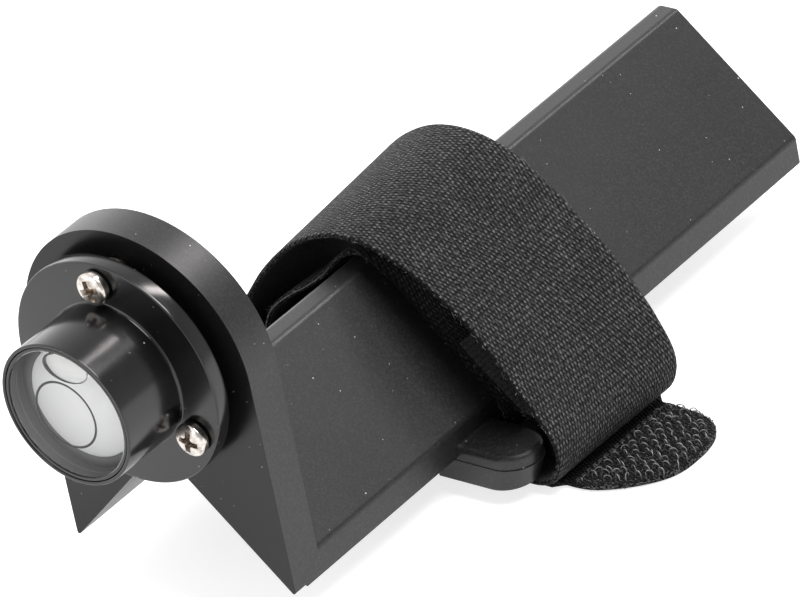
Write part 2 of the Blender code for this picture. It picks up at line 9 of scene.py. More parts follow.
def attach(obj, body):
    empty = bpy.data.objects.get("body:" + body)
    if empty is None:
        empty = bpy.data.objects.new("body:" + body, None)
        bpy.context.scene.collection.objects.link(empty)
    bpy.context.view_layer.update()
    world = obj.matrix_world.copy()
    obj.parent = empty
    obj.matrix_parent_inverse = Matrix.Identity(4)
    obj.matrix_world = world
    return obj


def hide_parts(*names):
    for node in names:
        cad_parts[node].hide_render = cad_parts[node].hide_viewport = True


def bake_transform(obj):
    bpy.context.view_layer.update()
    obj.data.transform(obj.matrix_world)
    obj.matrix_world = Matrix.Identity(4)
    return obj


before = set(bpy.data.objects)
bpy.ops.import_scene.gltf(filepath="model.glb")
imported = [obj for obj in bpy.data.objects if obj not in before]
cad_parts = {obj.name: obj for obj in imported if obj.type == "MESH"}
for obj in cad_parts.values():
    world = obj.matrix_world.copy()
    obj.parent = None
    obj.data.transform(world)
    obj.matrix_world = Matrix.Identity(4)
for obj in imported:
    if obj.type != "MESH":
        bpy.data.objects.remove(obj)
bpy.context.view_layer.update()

# Lengths below are in millimetres in the bracket's own frame: x across it,
# y from the front of the head plate to the tail, z up from the wing tips.
MM = 0.001
ORIGIN_Y = 62.9
REST_Z = 7.23


def at(x, y, z):
    """A point of the bracket's frame in the row frame, in metres."""
    return Vector((x * MM, (y - ORIGIN_Y) * MM, (z + REST_Z) * MM))


TO_ROW = Matrix.Translation((0.0, -ORIGIN_Y * MM, REST_Z * MM))

# --------------------------------------------------------------------- camera
RIGHT = Vector((0.780147, 0.600930, -0.173935))
DOWN = Vector((0.198338, -0.501272, -0.842252))
INTO = Vector((-0.593323, 0.622582, -0.510253))
cam_data = bpy.data.cameras.new("camera")
cam_data.sensor_width = 36.0
cam_data.lens = 369.755
cam_data.clip_start = 0.05
cam_data.clip_end = 50.0
camera = bpy.data.objects.new("camera", cam_data)
bpy.context.scene.collection.objects.link(camera)
camera.matrix_world = (Matrix.Translation((0.786537, -0.828009, 0.697978))
                       @ Matrix((RIGHT, -DOWN, -INTO)).transposed().to_4x4())
bpy.context.scene.camera = camera
bpy.context.scene.view_settings.view_transform = "Standard"
bpy.context.scene.view_settings.look = "None"

looks = bpy.data.collections.new("looks")
bpy.context.scene.collection.children.link(looks)


# ------------------------------------------------------------- material graphs
class Graph:
    """A material's node tree, built up from small calls."""

    def __init__(self, name):
        self.mat = bpy.data.materials.new(name)
        self.mat.use_nodes = True
        self.tree = self.mat.node_tree
        self.bsdf = self.tree.nodes["Principled BSDF"]
        self.coord = self.tree.nodes.new("ShaderNodeTexCoord")

    def new(self, kind, **values):
        node = self.tree.nodes.new(kind)
        for key, value in values.items():
            setattr(node, key, value)
        return node

    def put(self, socket, value):
        if isinstance(value, bpy.types.NodeSocket):
            self.tree.links.new(value, socket)
        elif value is not None:
            socket.default_value = value

    def set(self, **values):
        for key, value in values.items():
            self.put(self.bsdf.inputs[key.replace("_", " ")], value)

    def math(self, operation, a, b=None, c=None, clamp=False):
        node = self.new("ShaderNodeMath", operation=operation, use_clamp=clamp)
        for socket, value in zip(node.inputs, (a, b, c)):
            self.put(socket, value)
        return node.outputs[0]

    def scaled(self, vector, x, y, z):
        node = self.new("ShaderNodeVectorMath", operation="MULTIPLY")
        self.put(node.inputs[0], vector)
        node.inputs[1].default_value = (x, y, z)
        return node.outputs[0]

    def noise(self, vector, scale, detail=2.0, rough=0.5):
        node = self.new("ShaderNodeTexNoise")
        self.put(node.inputs["Vector"], vector)
        node.inputs["Scale"].default_value = scale
        node.inputs["Detail"].default_value = detail
        node.inputs["Roughness"].default_value = rough
        return node.outputs["Fac"]

    def range(self, value, a, b, lo, hi, smooth=False):
        node = self.new("ShaderNodeMapRange")
        node.interpolation_type = "SMOOTHSTEP" if smooth else "LINEAR"
        self.put(node.inputs["Value"], value)
        for key, number in (("From Min", a), ("From Max", b), ("To Min", lo), ("To Max", hi)):
            node.inputs[key].default_value = number
        return node.outputs["Result"]

    def mix(self, factor, a, b):
        node = self.new("ShaderNodeMix", data_type="RGBA")
        self.put(node.inputs[0], factor)
        for socket, value in ((node.inputs[6], a), (node.inputs[7], b)):
            self.put(socket, value if isinstance(value, bpy.types.NodeSocket) else (*value, 1.0))
        return node.outputs[2]

    def bump(self, height, distance, strength=1.0, normal=None):
        node = self.new("ShaderNodeBump")
        node.inputs["Strength"].default_value = strength
        node.inputs["Distance"].default_value = distance
        self.put(node.inputs["Height"], height)
        if normal is not None:
            self.put(node.inputs["Normal"], normal)
        return node.outputs["Normal"]

    def split(self, vector):
        node = self.new("ShaderNodeSeparateXYZ")
        self.put(node.inputs[0], vector)
        return node.outputs

    def join(self, x, y, z):
        node = self.new("ShaderNodeCombineXYZ")
        for socket, value in zip(node.inputs, (x, y, z)):
            self.put(socket, value)
        return node.outputs[0]

    def specks(self, vector, scale, share, size):
        """Mask of scattered dust: a share of the cells holds one small dot."""
        cells = self.new("ShaderNodeTexVoronoi")
        self.put(cells.inputs["Vector"], vector)
        cells.inputs["Scale"].default_value = scale
        pick = self.split(cells.outputs["Color"])
        chosen = self.math("GREATER_THAN", pick[0], 1.0 - share)
        radius = self.math("MULTIPLY_ADD", pick[1], size, size * 0.5)
        near = self.math("LESS_THAN", cells.outputs["Distance"], radius)
        return self.math("MULTIPLY", chosen, near)


def moulded_black():
    """Satin moulded black with a fine sparkle grain and a little dust; the lug tops reflect less, as painted
    shade.
    """
    g = Graph("moulded_black_look")
    vec = g.coord.outputs["Object"]
    grain = g.noise(vec, 2600.0, 3.0, 0.6)
    fine = g.noise(vec, 7500.0, 2.0, 0.5)
    broad = g.noise(vec, 38.0, 3.0, 0.55)
    dust = g.math("MAXIMUM", g.specks(vec, 360.0, 0.42, 0.038),
                  g.specks(vec, 820.0, 0.16, 0.060))
    tone = g.mix(broad, (0.0034, 0.0034, 0.0036), (0.0056, 0.0056, 0.0058))
    front = g.range(g.split(vec)[1], -0.06288, -0.06278, 1.0, 0.0, True)
    sparkle = g.math("MULTIPLY", g.range(grain, 0.46, 0.74, 0.0, 0.6),
                     g.math("MULTIPLY_ADD", front, -0.8, 1.0))
    tone = g.mix(sparkle, tone, (0.026, 0.026, 0.0265))
    g.set(Base_Color=g.mix(g.math("MULTIPLY", dust, 0.8), tone, (0.40, 0.40, 0.39)))
    rough = g.math("MULTIPLY_ADD", broad, 0.08, g.math("MULTIPLY_ADD", front, -0.15, 0.30))
    g.set(Roughness=g.math("MULTIPLY_ADD", fine, 0.10, rough))
    height = g.math("ADD", g.math("MULTIPLY", grain, 0.7), g.math("MULTIPLY", fine, 0.3))
    g.set(Normal=g.bump(height, 0.00003, 0.7))
    across, _, up = g.split(vec)
    # Painted shade: the tops of the side lugs get less reflection, standing in for the strap's shadow on them.
    lug_top_painted_shade = g.math("MULTIPLY", g.range(g.math("ABSOLUTE", across), 0.0229, 0.0240, 0.0, 1.0, True),
                     g.range(up, 0.0087, 0.0094, 0.0, 1.0, True))
    gloss = g.math("MULTIPLY_ADD", front, -0.15, g.math("MULTIPLY_ADD", lug_top_painted_shade, -0.30, 0.40))
    g.set(Specular_IOR_Level=gloss)
    return g.mat


def gloss_black(name, rough=0.155, turned=True):
    """Gloss black metal finish with faint turning marks round the vial axis."""
    g = Graph(name)
    vec = g.coord.outputs["Object"]
    x, y, z = g.split(vec)
    dz = g.math("SUBTRACT", z, 0.04683)
    radius = g.math("SQRT", g.math("ADD", g.math("MULTIPLY", x, x), g.math("MULTIPLY", dz, dz)))
    ring_vec = g.join(g.math("MULTIPLY", radius, 1.0), y, 0.0)
    lines = g.noise(ring_vec, 5200.0, 3.0, 0.65)
    broad = g.noise(vec, 120.0, 3.0, 0.6)
    dust = g.math("MAXIMUM", g.specks(vec, 430.0, 0.36, 0.040), g.specks(vec, 1000.0, 0.12, 0.06))
    tone = g.mix(broad, (0.0026, 0.0026, 0.0028), (0.0046, 0.0046, 0.0049))
    g.set(Base_Color=g.mix(g.math("MULTIPLY", dust, 0.7), tone, (0.35, 0.35, 0.34)))
    g.set(Roughness=g.math("MULTIPLY_ADD", g.math("ADD", broad, g.math("MULTIPLY", lines, 0.6)),
                           0.09, rough - 0.05))
    g.set(Normal=g.bump(lines, 0.000004, 0.6 if turned else 0.2))
    g.bsdf.inputs["Specular IOR Level"].default_value = 0.46
    return g.mat


def nickel():
    """Bright plated screw, stained in the recess, with fine scratches."""
    g = Graph("bright_screw_look")
    vec = g.coord.outputs["Object"]
    x, y, z = g.split(vec)
    scratches = g.noise(g.scaled(vec, 1.0, 1.0, 6.0), 1500.0, 3.0, 0.7)
    blotch = g.noise(vec, 620.0, 3.0, 0.65)
    deep = g.range(y, -0.00675, -0.00745, 1.0, 0.0, True)
    inner = g.range(g.math("SQRT", g.math("ADD", g.math("MULTIPLY", x, x),
                                          g.math("MULTIPLY", z, z))),
                    0.0021, 0.0023, 1.0, 0.0)
    stain = g.math("MULTIPLY", g.math("MULTIPLY", deep, inner), 0.85)
    tone = g.mix(g.range(blotch, 0.35, 0.65, 0.0, 1.0), (0.70, 0.66, 0.62), (0.30, 0.26, 0.23))
    rust = g.mix(g.range(g.noise(vec, 1700.0, 2.0, 0.6), 0.42, 0.6, 0.0, 1.0),
                 (0.075, 0.047, 0.030), (0.50, 0.37, 0.27))
    g.set(Base_Color=g.mix(stain, tone, rust))
    g.set(Metallic=g.math("SUBTRACT", 1.0, g.math("MULTIPLY", stain, 0.5)))
    g.set(Roughness=g.math("MULTIPLY_ADD", scratches, 0.16, g.math("MULTIPLY_ADD", stain, 0.3, 0.13)))
    g.set(Normal=g.bump(g.math("ADD", blotch, g.math("MULTIPLY", scratches, 0.4)), 0.00003, 0.35))
    return g.mat


def plain_grain(name, low, high, rough, scale, metal=0.0, bump=0.00001):
    """A finish with soft mottling and fine grain, for small pieces."""
    g = Graph(name)
    vec = g.coord.outputs["Object"]
    mottle = g.noise(vec, scale, 3.0, 0.6)
    fine = g.noise(vec, scale * 9.0, 2.0, 0.5)
    g.set(Base_Color=g.mix(mottle, low, high))
    g.bsdf.inputs["Metallic"].default_value = metal
    g.set(Roughness=g.math("MULTIPLY_ADD", fine, 0.12, rough - 0.06))
    g.set(Normal=g.bump(fine, bump, 0.6))
    return g.mat


def vial_wall():
    """Grey moulded wall of the vial; its floor carries painted shade, dark in the corner at the wall and fading
    out near the disc.
    """
    g = Graph("vial_cup_look")
    vec = g.coord.outputs["Object"]
    x, y, z = g.split(vec)
    dz = g.math("SUBTRACT", z, 0.04683)
    radius = g.math("SQRT", g.math("ADD", g.math("MULTIPLY", x, x), g.math("MULTIPLY", dz, dz)))
    mottle = g.noise(vec, 160.0, 2.0, 0.5)
    wall = g.mix(mottle, (0.002, 0.002, 0.0022), (0.004, 0.004, 0.0042))
    dust = g.specks(vec, 700.0, 0.06, 0.05)
    wall = g.mix(g.math("MULTIPLY", dust, 0.35), wall, (0.16, 0.16, 0.16))
    # Painted shade: the floor's grey is darkened towards the wall, as shade in the corner, and left lighter near
    # the disc.
    inward = g.range(radius, 0.0112, 0.0094, 0.0, 1.0, True)
    line = g.range(radius, 0.00955, 0.00945, 0.0, 1.0)
    floor_tone = g.mix(inward, wall, (0.16, 0.16, 0.163))
    g.set(Base_Color=g.mix(line, floor_tone, (0.045, 0.045, 0.047)))
    g.bsdf.inputs["Roughness"].default_value = 0.6
    g.bsdf.inputs["Specular IOR Level"].default_value = 0.05
    return g.mat


def clear(name, ior, tint):
    g = Graph(name)
    vec = g.coord.outputs["Object"]
    smear = g.noise(vec, 260.0, 3.0, 0.6)
    g.bsdf.inputs["Base Color"].default_value = (*tint, 1.0)
    g.bsdf.inputs["Transmission Weight"].default_value = 1.0
    g.bsdf.inputs["IOR"].default_value = ior
    g.set(Roughness=g.range(smear, 0.5, 0.8, 0.0, 0.02))
    return g.mat


def webbing(name, base=0.030, edge=True):
    """Woven face of the strap: rows of short stitches set like bricks, drawn
    into slanting lines that change their lean along the strap. UV is in
    metres: along, across."""
    g = Graph(name)
    uv = g.coord.outputs["UV"]
    u, v, _ = g.split(uv)
    tau = 2.0 * math.pi
    sway = g.noise(uv, 380.0, 2.0, 0.55)
    u_s = g.math("MULTIPLY_ADD", sway, 0.00050, u)
    v_s = g.math("MULTIPLY_ADD", g.noise(g.scaled(uv, 1.0, 1.6, 1.0), 300.0, 2.0, 0.5), 0.00030, v)

    def wave(across, along, phase=0.0):
        turn = g.math("MULTIPLY_ADD", v_s, tau * across / MM, phase)
        if along:
            turn = g.math("MULTIPLY_ADD", u_s, tau * along / MM, turn)
        return g.math("COSINE", turn)

    lean = g.range(g.noise(uv, 34.0, 1.0, 0.5), 0.36, 0.64, 0.0, 1.0, True)
    rise = g.math("MULTIPLY", wave(1.5, 0.555), g.math("MULTIPLY_ADD", lean, 0.7, 0.75))
    fall = g.math("MULTIPLY", wave(1.5, -0.555), g.math("MULTIPLY_ADD", lean, -0.7, 1.45))
    knit = g.math("ADD", g.math("MULTIPLY", wave(0.0, 1.11), 0.80), g.math("ADD", rise, fall))
    knit = g.math("MULTIPLY_ADD", wave(0.75, 0.555, 0.4), 0.24, knit)
    knit = g.math("MULTIPLY_ADD", wave(1.5, 0.0, 0.5), 0.55, knit)
    knit = g.math("MULTIPLY_ADD", wave(0.0, 1.665, 0.3), 0.22, knit)
    knit = g.math("MULTIPLY_ADD", wave(2.25, 0.555, 1.0), 0.45, knit)
    fibre = g.noise(g.scaled(uv, 1.0, 1.5, 1.0), 5200.0, 2.0, 0.6)
    patch = g.noise(uv, 1250.0, 2.0, 0.65)
    broad = g.noise(uv, 120.0, 3.0, 0.6)
    level = g.math("MULTIPLY_ADD", g.math("SUBTRACT", patch, 0.5), 10.0, knit)
    level = g.math("MULTIPLY_ADD", g.math("SUBTRACT", fibre, 0.5), 5.0, level)
    level = g.math("MULTIPLY_ADD", g.math("SUBTRACT", broad, 0.5), 2.0, level)
    lit = g.range(level, -1.95, 2.6, 0.0, 1.0, True)
    shade = g.math("MULTIPLY_ADD", lit, base, base * 0.05)
    tone = g.join(shade, shade, g.math("MULTIPLY", shade, 1.02))
    # Painted highlight: where the knit rises highest the base colour is lightened up to four times, standing in
    # for glints on the thread crests.
    glint = g.range(level, 1.5, 3.4, 0.0, 1.0, True)
    tone = g.mix(g.math("MULTIPLY", glint, 0.6), tone, (base * 4.0, base * 4.0, base * 4.0))
    if edge:
        rim = g.math("MINIMUM", v, g.math("SUBTRACT", 0.0304, v))
        seam = g.range(rim, 0.00028, 0.00052, 1.0, 0.0, True)
        beads = g.range(g.math("MULTIPLY_ADD", g.math("SUBTRACT", patch, 0.5), 2.6, wave(0.0, 1.11)),
                        0.5, 1.3, 0.0, 1.0, True)
        some = g.range(g.noise(uv, 70.0, 2.0, 0.6), 0.46, 0.60, 0.06, 0.8)
        tone = g.mix(g.math("MULTIPLY", g.math("MULTIPLY", seam, beads), some), tone,
                     (0.20, 0.20, 0.197))
    g.set(Base_Color=tone)
    g.set(Roughness=g.math("SUBTRACT", 0.80, g.math("MULTIPLY", glint, 0.30)))
    g.bsdf.inputs["Specular IOR Level"].default_value = 0.12
    g.bsdf.inputs["Sheen Weight"].default_value = 0.03
    g.bsdf.inputs["Sheen Roughness"].default_value = 0.45
    g.set(Normal=g.bump(knit, 0.00010, 0.8))
    return g.mat


def pile():
    """Napped loop side of the strap: dark, fuzzy, with stray lighter fibres
    and the weave's rows showing faintly through."""
    g = Graph("strap_pile_look")
    uv = g.coord.outputs["UV"]
    vec = g.coord.outputs["Object"]
    u, v, _ = g.split(uv)
    loops = g.noise(vec, 2400.0, 4.0, 0.7)
    curl = g.new("ShaderNodeTexVoronoi", feature="DISTANCE_TO_EDGE")
    g.put(curl.inputs["Vector"], vec)
    curl.inputs["Scale"].default_value = 1300.0
    strand = g.range(curl.outputs["Distance"], 0.0, 0.06, 1.0, 0.0, True)
    picked = g.math("MULTIPLY", strand, g.range(g.noise(vec, 700.0, 2.0, 0.5), 0.52, 0.7, 0.0, 1.0))
    rows = g.math("SINE", g.math("MULTIPLY", u, 2.0 * math.pi * 1.11 / MM))
    level = g.math("MULTIPLY_ADD", rows, 0.07, loops)
    tone = g.mix(g.range(level, 0.3, 0.75, 0.0, 1.0), (0.006, 0.006, 0.006), (0.062, 0.062, 0.063))
    g.set(Base_Color=g.mix(g.math("MULTIPLY", picked, 0.4), tone, (0.20, 0.20, 0.20)))
    g.bsdf.inputs["Roughness"].default_value = 0.95
    g.bsdf.inputs["Specular IOR Level"].default_value = 0.10
    g.bsdf.inputs["Sheen Weight"].default_value = 0.05
    g.bsdf.inputs["Sheen Roughness"].default_value = 0.6
    g.set(Normal=g.bump(g.math("ADD", loops, g.math("MULTIPLY", strand, 0.3)), 0.00035, 1.0))
    return g.mat


def nylon(name, tone_low, tone_high, rough, root=None, tip=None):
    """Filament; between the heights root and tip it goes from dark to pale, as painted shade at the root and
    painted light at the tip.
    """
    g = Graph(name)
    vec = g.coord.outputs["Object"]
    vary = g.noise(vec, 900.0, 2.0, 0.5)
    tone = g.mix(g.range(vary, 0.3, 0.7, 0.0, 1.0), tone_low, tone_high)
    # Painted shade low down and painted light up high: the tone darkens below the tip height.
    if root is not None:
        tone = g.mix(g.range(g.split(vec)[2], root, tip, 0.0, 1.0, True), (0.010, 0.010, 0.010), tone)
    g.set(Base_Color=tone)
    g.set(Roughness=g.math("MULTIPLY_ADD", vary, 0.15, rough - 0.07))
    return g.mat


BLACK = moulded_black()
GLOSS = gloss_black("gloss_black_look")
BEZEL = gloss_black("bezel_black_look", 0.2, False)
NICKEL = nickel()
BRASS = plain_grain("brass_look", (0.62, 0.43, 0.17), (0.76, 0.57, 0.28), 0.32, 700.0, 1.0)
WIRE = plain_grain("spring_wire_look", (0.009, 0.009, 0.009), (0.018, 0.0175, 0.017), 0.5, 1200.0, 0.2)
RUBBER = plain_grain("seal_look", (0.014, 0.014, 0.014), (0.025, 0.025, 0.025), 0.7, 600.0)
CUP = vial_wall()
WHITE = plain_grain("target_disc_look", (0.84, 0.85, 0.85), (0.88, 0.89, 0.89), 0.45, 120.0)
PRINT = plain_grain("printed_ring_look", (0.012, 0.012, 0.013), (0.024, 0.024, 0.025), 0.6, 900.0)
WINDOW = clear("window_look", 1.33, (0.992, 0.99, 0.986))
WEB = webbing("strap_knit_look", 0.029)
PILE = pile()
# The hooks take the painted root shade and painted tip light between 1.0 and 2.4 mm of height.
HOOK = nylon("hook_nylon_look", (0.05, 0.05, 0.05), (0.17, 0.17, 0.167), 0.36, 0.0010, 0.0024)
CORD = nylon("edge_cord_look", (0.014, 0.014, 0.014), (0.060, 0.060, 0.059), 0.6)
THREAD = nylon("loose_fibre_look", (0.03, 0.03, 0.03), (0.16, 0.16, 0.157), 0.5)


# ---------------------------------------------------------------- mesh helpers
def piece(name, bm, mats, body=None, smooth=35.0, stands_for=()):
    """Turns bm, in metres of the row frame, into a shown piece."""
    mesh = bpy.data.meshes.new(name)
    bm.to_mesh(mesh)
    bm.free()
    obj = bpy.data.objects.new(name, mesh)
    looks.objects.link(obj)
    for mat in mats if isinstance(mats, (list, tuple)) else [mats]:
        mesh.materials.append(mat)
    if smooth is not None:
        mesh.shade_smooth()
        mesh.set_sharp_from_angle(angle=math.radians(smooth))
    if body:
        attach(obj, body)
    if stands_for:
        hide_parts(*stands_for)
    return obj


def lathe(profile, steps, centre=(0.0, 39.6), closed=True):
    """A profile of (radius, forward) in mm, turned about the line through
    centre (x, z) that points forward, which is -y."""
    bm = bmesh.new()
    rings = []
    for r, forward in profile:
        if r <= 0.0:
            rings.append([bm.verts.new(at(centre[0], -forward, centre[1]))])
        else:
            rings.append([bm.verts.new(at(centre[0] + r * math.cos(2 * math.pi * i / steps), -forward,
                                          centre[1] + r * math.sin(2 * math.pi * i / steps)))
                          for i in range(steps)])
    pairs = list(zip(rings, rings[1:]))
    if closed and len(rings[0]) > 1:
        pairs.append((rings[-1], rings[0]))
    for a, b in pairs:
        for i in range(steps):
            j = (i + 1) % steps
            if len(a) == 1 and len(b) == 1:
                continue
            if len(a) == 1:
                bm.faces.new((a[0], b[j], b[i]))
            elif len(b) == 1:
                bm.faces.new((a[i], a[j], b[0]))
            else:
                bm.faces.new((a[i], a[j], b[j], b[i]))
    bmesh.ops.recalc_face_normals(bm, faces=bm.faces)
    return bm


def rounded(points, radius, n=4):
    """Rounds the corners of an open list of (r, h) points."""
    out = [points[0]]
    for a, b, c in zip(points, points[1:], points[2:]):
        pa, pb, pc = Vector(a), Vector(b), Vector(c)
        d1, d2 = (pa - pb), (pc - pb)
        cut = min(radius, d1.length * 0.45, d2.length * 0.45)
        if cut < 0.01 or d1.angle(d2) > math.radians(172.0):
            out.append(b)
            continue
        s, e = pb + d1.normalized() * cut, pb + d2.normalized() * cut
        for i in range(n + 1):
            t = i / n
            p = s * (1 - t) ** 2 + pb * 2 * t * (1 - t) + e * t ** 2
            out.append((p.x, p.y))
    out.append(points[-1])
    return out


def prism(ring, low, high, upright=True):
    """A ring of mm points given thickness: upright rings are (x, z) and run
    along y, flat ones are (x, y) and run along z."""
    bm = bmesh.new()
    ends = []
    for level in (low, high):
        ends.append([bm.verts.new((Vector((a, level, b)) if upright else Vector((a, b, level))) * MM)
                     for a, b in ring])
    count = len(ring)
    for i in range(count):
        j = (i + 1) % count
        bm.faces.new((ends[0][i], ends[0][j], ends[1][j], ends[1][i]))
    bm.faces.new(ends[0])
    bm.faces.new(ends[1][::-1])
    bmesh.ops.recalc_face_normals(bm, faces=bm.faces)
    return bm


def soften(bm, pick, width, segments):
    edges = []
    for edge in bm.edges:
        if len(edge.link_faces) == 2:
            angle = math.degrees(edge.calc_face_angle(0.0))
            a, b = (v.co / MM for v in edge.verts)
            if angle > 20.0 and pick(a, b):
                edges.append(edge)
    bmesh.ops.bevel(bm, geom=edges, offset=width * MM, offset_type="OFFSET",
                    segments=segments, profile=0.5, affect="EDGES", clamp_overlap=True)
    return bm


def raw(name, bm):
    mesh = bpy.data.meshes.new(name)
    bm.to_mesh(mesh)
    bm.free()
    obj = bpy.data.objects.new(name, mesh)
    looks.objects.link(obj)
    return obj


def carve(obj, others):
    """Applies Booleans (operation, object) to obj and removes the tools."""
    for operation, other in others:
        mod = obj.modifiers.new("cut", "BOOLEAN")
        mod.operation, mod.solver, mod.object = operation, "EXACT", other
    deps = bpy.context.evaluated_depsgraph_get()
    deps.update()
    mesh = bpy.data.meshes.new_from_object(obj.evaluated_get(deps), depsgraph=deps)
    name = obj.name
    bpy.data.objects.remove(obj, do_unlink=True)
    for _, other in others:
        bpy.data.objects.remove(other, do_unlink=True)
    bm = bmesh.new()
    bm.from_mesh(mesh)
    bpy.data.meshes.remove(mesh)
    bmesh.ops.remove_doubles(bm, verts=bm.verts, dist=2e-7)
    gaps = [edge for edge in bm.edges if len(edge.link_faces) == 1]
    if gaps:
        bmesh.ops.holes_fill(bm, edges=gaps, sides=8)
    return bm


def arc(cx, cy, r, a0, a1, n):
    return [(cx + r * math.cos(math.radians(a0 + (a1 - a0) * i / n)),
             cy + r * math.sin(math.radians(a0 + (a1 - a0) * i / n))) for i in range(n + 1)]


# -------------------------------------------------------------------- bracket
PLATE_R, PLATE_T, ARC_Z, BODY_LEN = 22.5, 6.85, 39.6, 138.2
WING_TIP_H, RIDGE_Z, RIDGE_HALF = 5.15, 25.86, 1.79
EAR_Y0, LUG_W, LUG_X, LUG_LEAN, REAR_W = 42.0, 10.3, 35.2, 0.40, 1.9
EAR_BOT, EAR_TOP, EAR_SPLIT = -4.33, 2.3, -0.2
SLOT_Y0 = EAR_Y0 + LUG_W
SLOT_Y1 = SLOT_Y0 + 31.3

TOE = 0.40


def toes(half):
    """Rounded lower corners of a section that is half wide on each side."""
    right = arc(half - TOE, 2.414 * TOE, TOE, -90.0, 0.0, 5)
    return [(-x, z) for x, z in right][::-1], right


left_toe, right_toe = toes(PLATE_R)
outline = right_toe + arc(0.0, ARC_Z, PLATE_R, 0.0, 180.0, 120) + left_toe
bm = prism(outline, 0.0, PLATE_T)
soften(bm, lambda a, b: abs(a.y - b.y) < 0.01 and max(a.z, b.z) > 0.9, 0.9, 6)
bracket = raw("bracket_moulding", bm)
wing_x = PLATE_R - 0.02
wing = [(-wing_x, 0.30), (wing_x, 0.30), (wing_x, WING_TIP_H + 0.02), (RIDGE_HALF, RIDGE_Z),
        (-RIDGE_HALF, RIDGE_Z), (-wing_x, WING_TIP_H + 0.02)]
bm = prism(wing, 3.0, BODY_LEN)
soften(bm, lambda a, b: a.z + b.z > 2.0 and ((a.y > BODY_LEN - 0.01 and b.y > BODY_LEN - 0.01)
                                             or abs(a.y - b.y) > 50.0), 0.6, 4)
steps = [("UNION", raw("wings", bm))]


def lug(name, sign, lean, ring, top_round, low_round):
    """A lug with a parting line round it: the part above is a hair smaller."""
    for low, high, inset, radius in ((EAR_BOT, EAR_SPLIT, 0.0, low_round),
                                     (EAR_SPLIT - 0.31, EAR_TOP, 0.13, top_round)):
        mid_y = sum(y for x, y in ring) / len(ring)
        inside_x = 18.0 + 4.0 * inset
        points = [(inside_x, ring[0][1] + math.copysign(inset, mid_y - ring[0][1]))]
        points += [(x - inset, y + inset * (mid_y - y) / max(abs(mid_y - ring[0][1]), 0.01)) for x, y in ring]
        points += [(inside_x, ring[-1][1] + math.copysign(inset, mid_y - ring[-1][1]))]
        if sign < 0:
            points = [(-x, y) for x, y in points][::-1]
        bm = prism(points, low, high, upright=False)
        for vert in bm.verts:
            if abs(vert.co.x) > 24.0 * MM:
                vert.co.x += sign * lean * min(vert.co.z - EAR_SPLIT * MM, 0.0)
        edge_z = low if high == EAR_SPLIT else high
        soften(bm, lambda a, b: (abs(a.z - b.z) < 0.01 and abs(a.z - edge_z) < 0.01
                                 and max(abs(a.x), abs(b.x)) > 23.5), radius, 5)
        steps.append(("UNION", raw(name, bm)))


for sign in (1.0, -1.0):
    r = LUG_W / 2.0
    lug("front_lug", sign, LUG_LEAN, arc(LUG_X - r, EAR_Y0 + r, r, -90.0, 90.0, 36), 1.05, 0.3)
    rear = [(28.0 + 4.05 * math.cos(math.radians(a)), SLOT_Y1 + REAR_W * math.sin(math.radians(a)))
            for a in range(0, 91, 9)]
    for low, high in ((EAR_BOT, EAR_TOP),):
        points = [(18.0, SLOT_Y1)] + rear + [(18.0, SLOT_Y1 + REAR_W)]
        if sign < 0:
            points = [(-x, y) for x, y in points][::-1]
        steps.append(("UNION", raw("rear_lug", prism(points, low, high, upright=False))))
    x0, x1 = sorted((sign * 18.3, sign * 23.3))
    bm = prism([(x0, SLOT_Y0 - 3.0), (x1, SLOT_Y0 - 3.0), (x1, SLOT_Y1 + REAR_W / 2.0),
                (x0, SLOT_Y1 + REAR_W / 2.0)], EAR_BOT + 0.25, 1.5, upright=False)
    steps.append(("UNION", raw("rail", bm)))
    x0, x1 = sorted((sign * 27.5, sign * 32.0))
    bm = prism([(x0, SLOT_Y0 - 3.0), (x1, SLOT_Y0 - 3.0), (x1, SLOT_Y1 + 0.6), (x0, SLOT_Y1 + 0.6)],
               -2.7, 2.0, upright=False)
    soften(bm, lambda a, b: abs(a.y - b.y) > 10.0, 0.9, 4)
    steps.append(("UNION", raw("bar", bm)))
steps.append(("DIFFERENCE", raw("groove", prism([(-PLATE_R, 0.0), (PLATE_R, 0.0), (0.0, PLATE_R)],
                                                -5.0, BODY_LEN + 5.0))))
SCREWS = [("top", 90.0), ("right", -30.0), ("left", 210.0)]


def screw_axis(angle):
    return (16.17 * math.cos(math.radians(angle)), ARC_Z + 16.17 * math.sin(math.radians(angle)))


for name, angle in SCREWS:
    bm = lathe([(0.0, 1.0), (1.85, 1.0), (1.85, -1.6), (2.6, -1.6), (2.6, -8.0), (0.0, -8.0)], 40,
               screw_axis(angle))
    bm.transform(TO_ROW.inverted())
    steps.append(("DIFFERENCE", raw("screw_hole", bm)))
bm = carve(bracket, steps)
bm.transform(TO_ROW)
bracket = piece("bracket_moulding", bm, BLACK, "bracket_body", 30.0, ("bracket",))
tidy = bracket.modifiers.new("face_weighted", "WEIGHTED_NORMAL")
tidy.keep_sharp = True
tidy.weight = 60

# ------------------------------------------------------------------ vial head
GAP, FLANGE_R, FLANGE_T = 2.47, 19.88, 2.86
BARREL_R, HEAD_FRONT, BORE_R, SEAT = 12.63, 18.1, 12.03, 8.9
FLANGE_FRONT = GAP + FLANGE_T
outer = rounded([(BORE_R, HEAD_FRONT - 0.6), (BORE_R, HEAD_FRONT), (BARREL_R, HEAD_FRONT),
                 (BARREL_R, FLANGE_FRONT + 0.5)], 0.22, 4)
corner = arc(BARREL_R + 0.5, FLANGE_FRONT + 0.5, 0.5, 180.0, 270.0, 6)
rim = rounded([(BARREL_R + 1.5, FLANGE_FRONT), (FLANGE_R, FLANGE_FRONT), (FLANGE_R, GAP),
               (BARREL_R, GAP)], 0.32, 4)
inner = [(9.5, GAP), (9.5, SEAT), (BORE_R, SEAT)]
bm = lathe(outer + corner[1:] + rim + inner, 180)
bm.transform(TO_ROW.inverted())
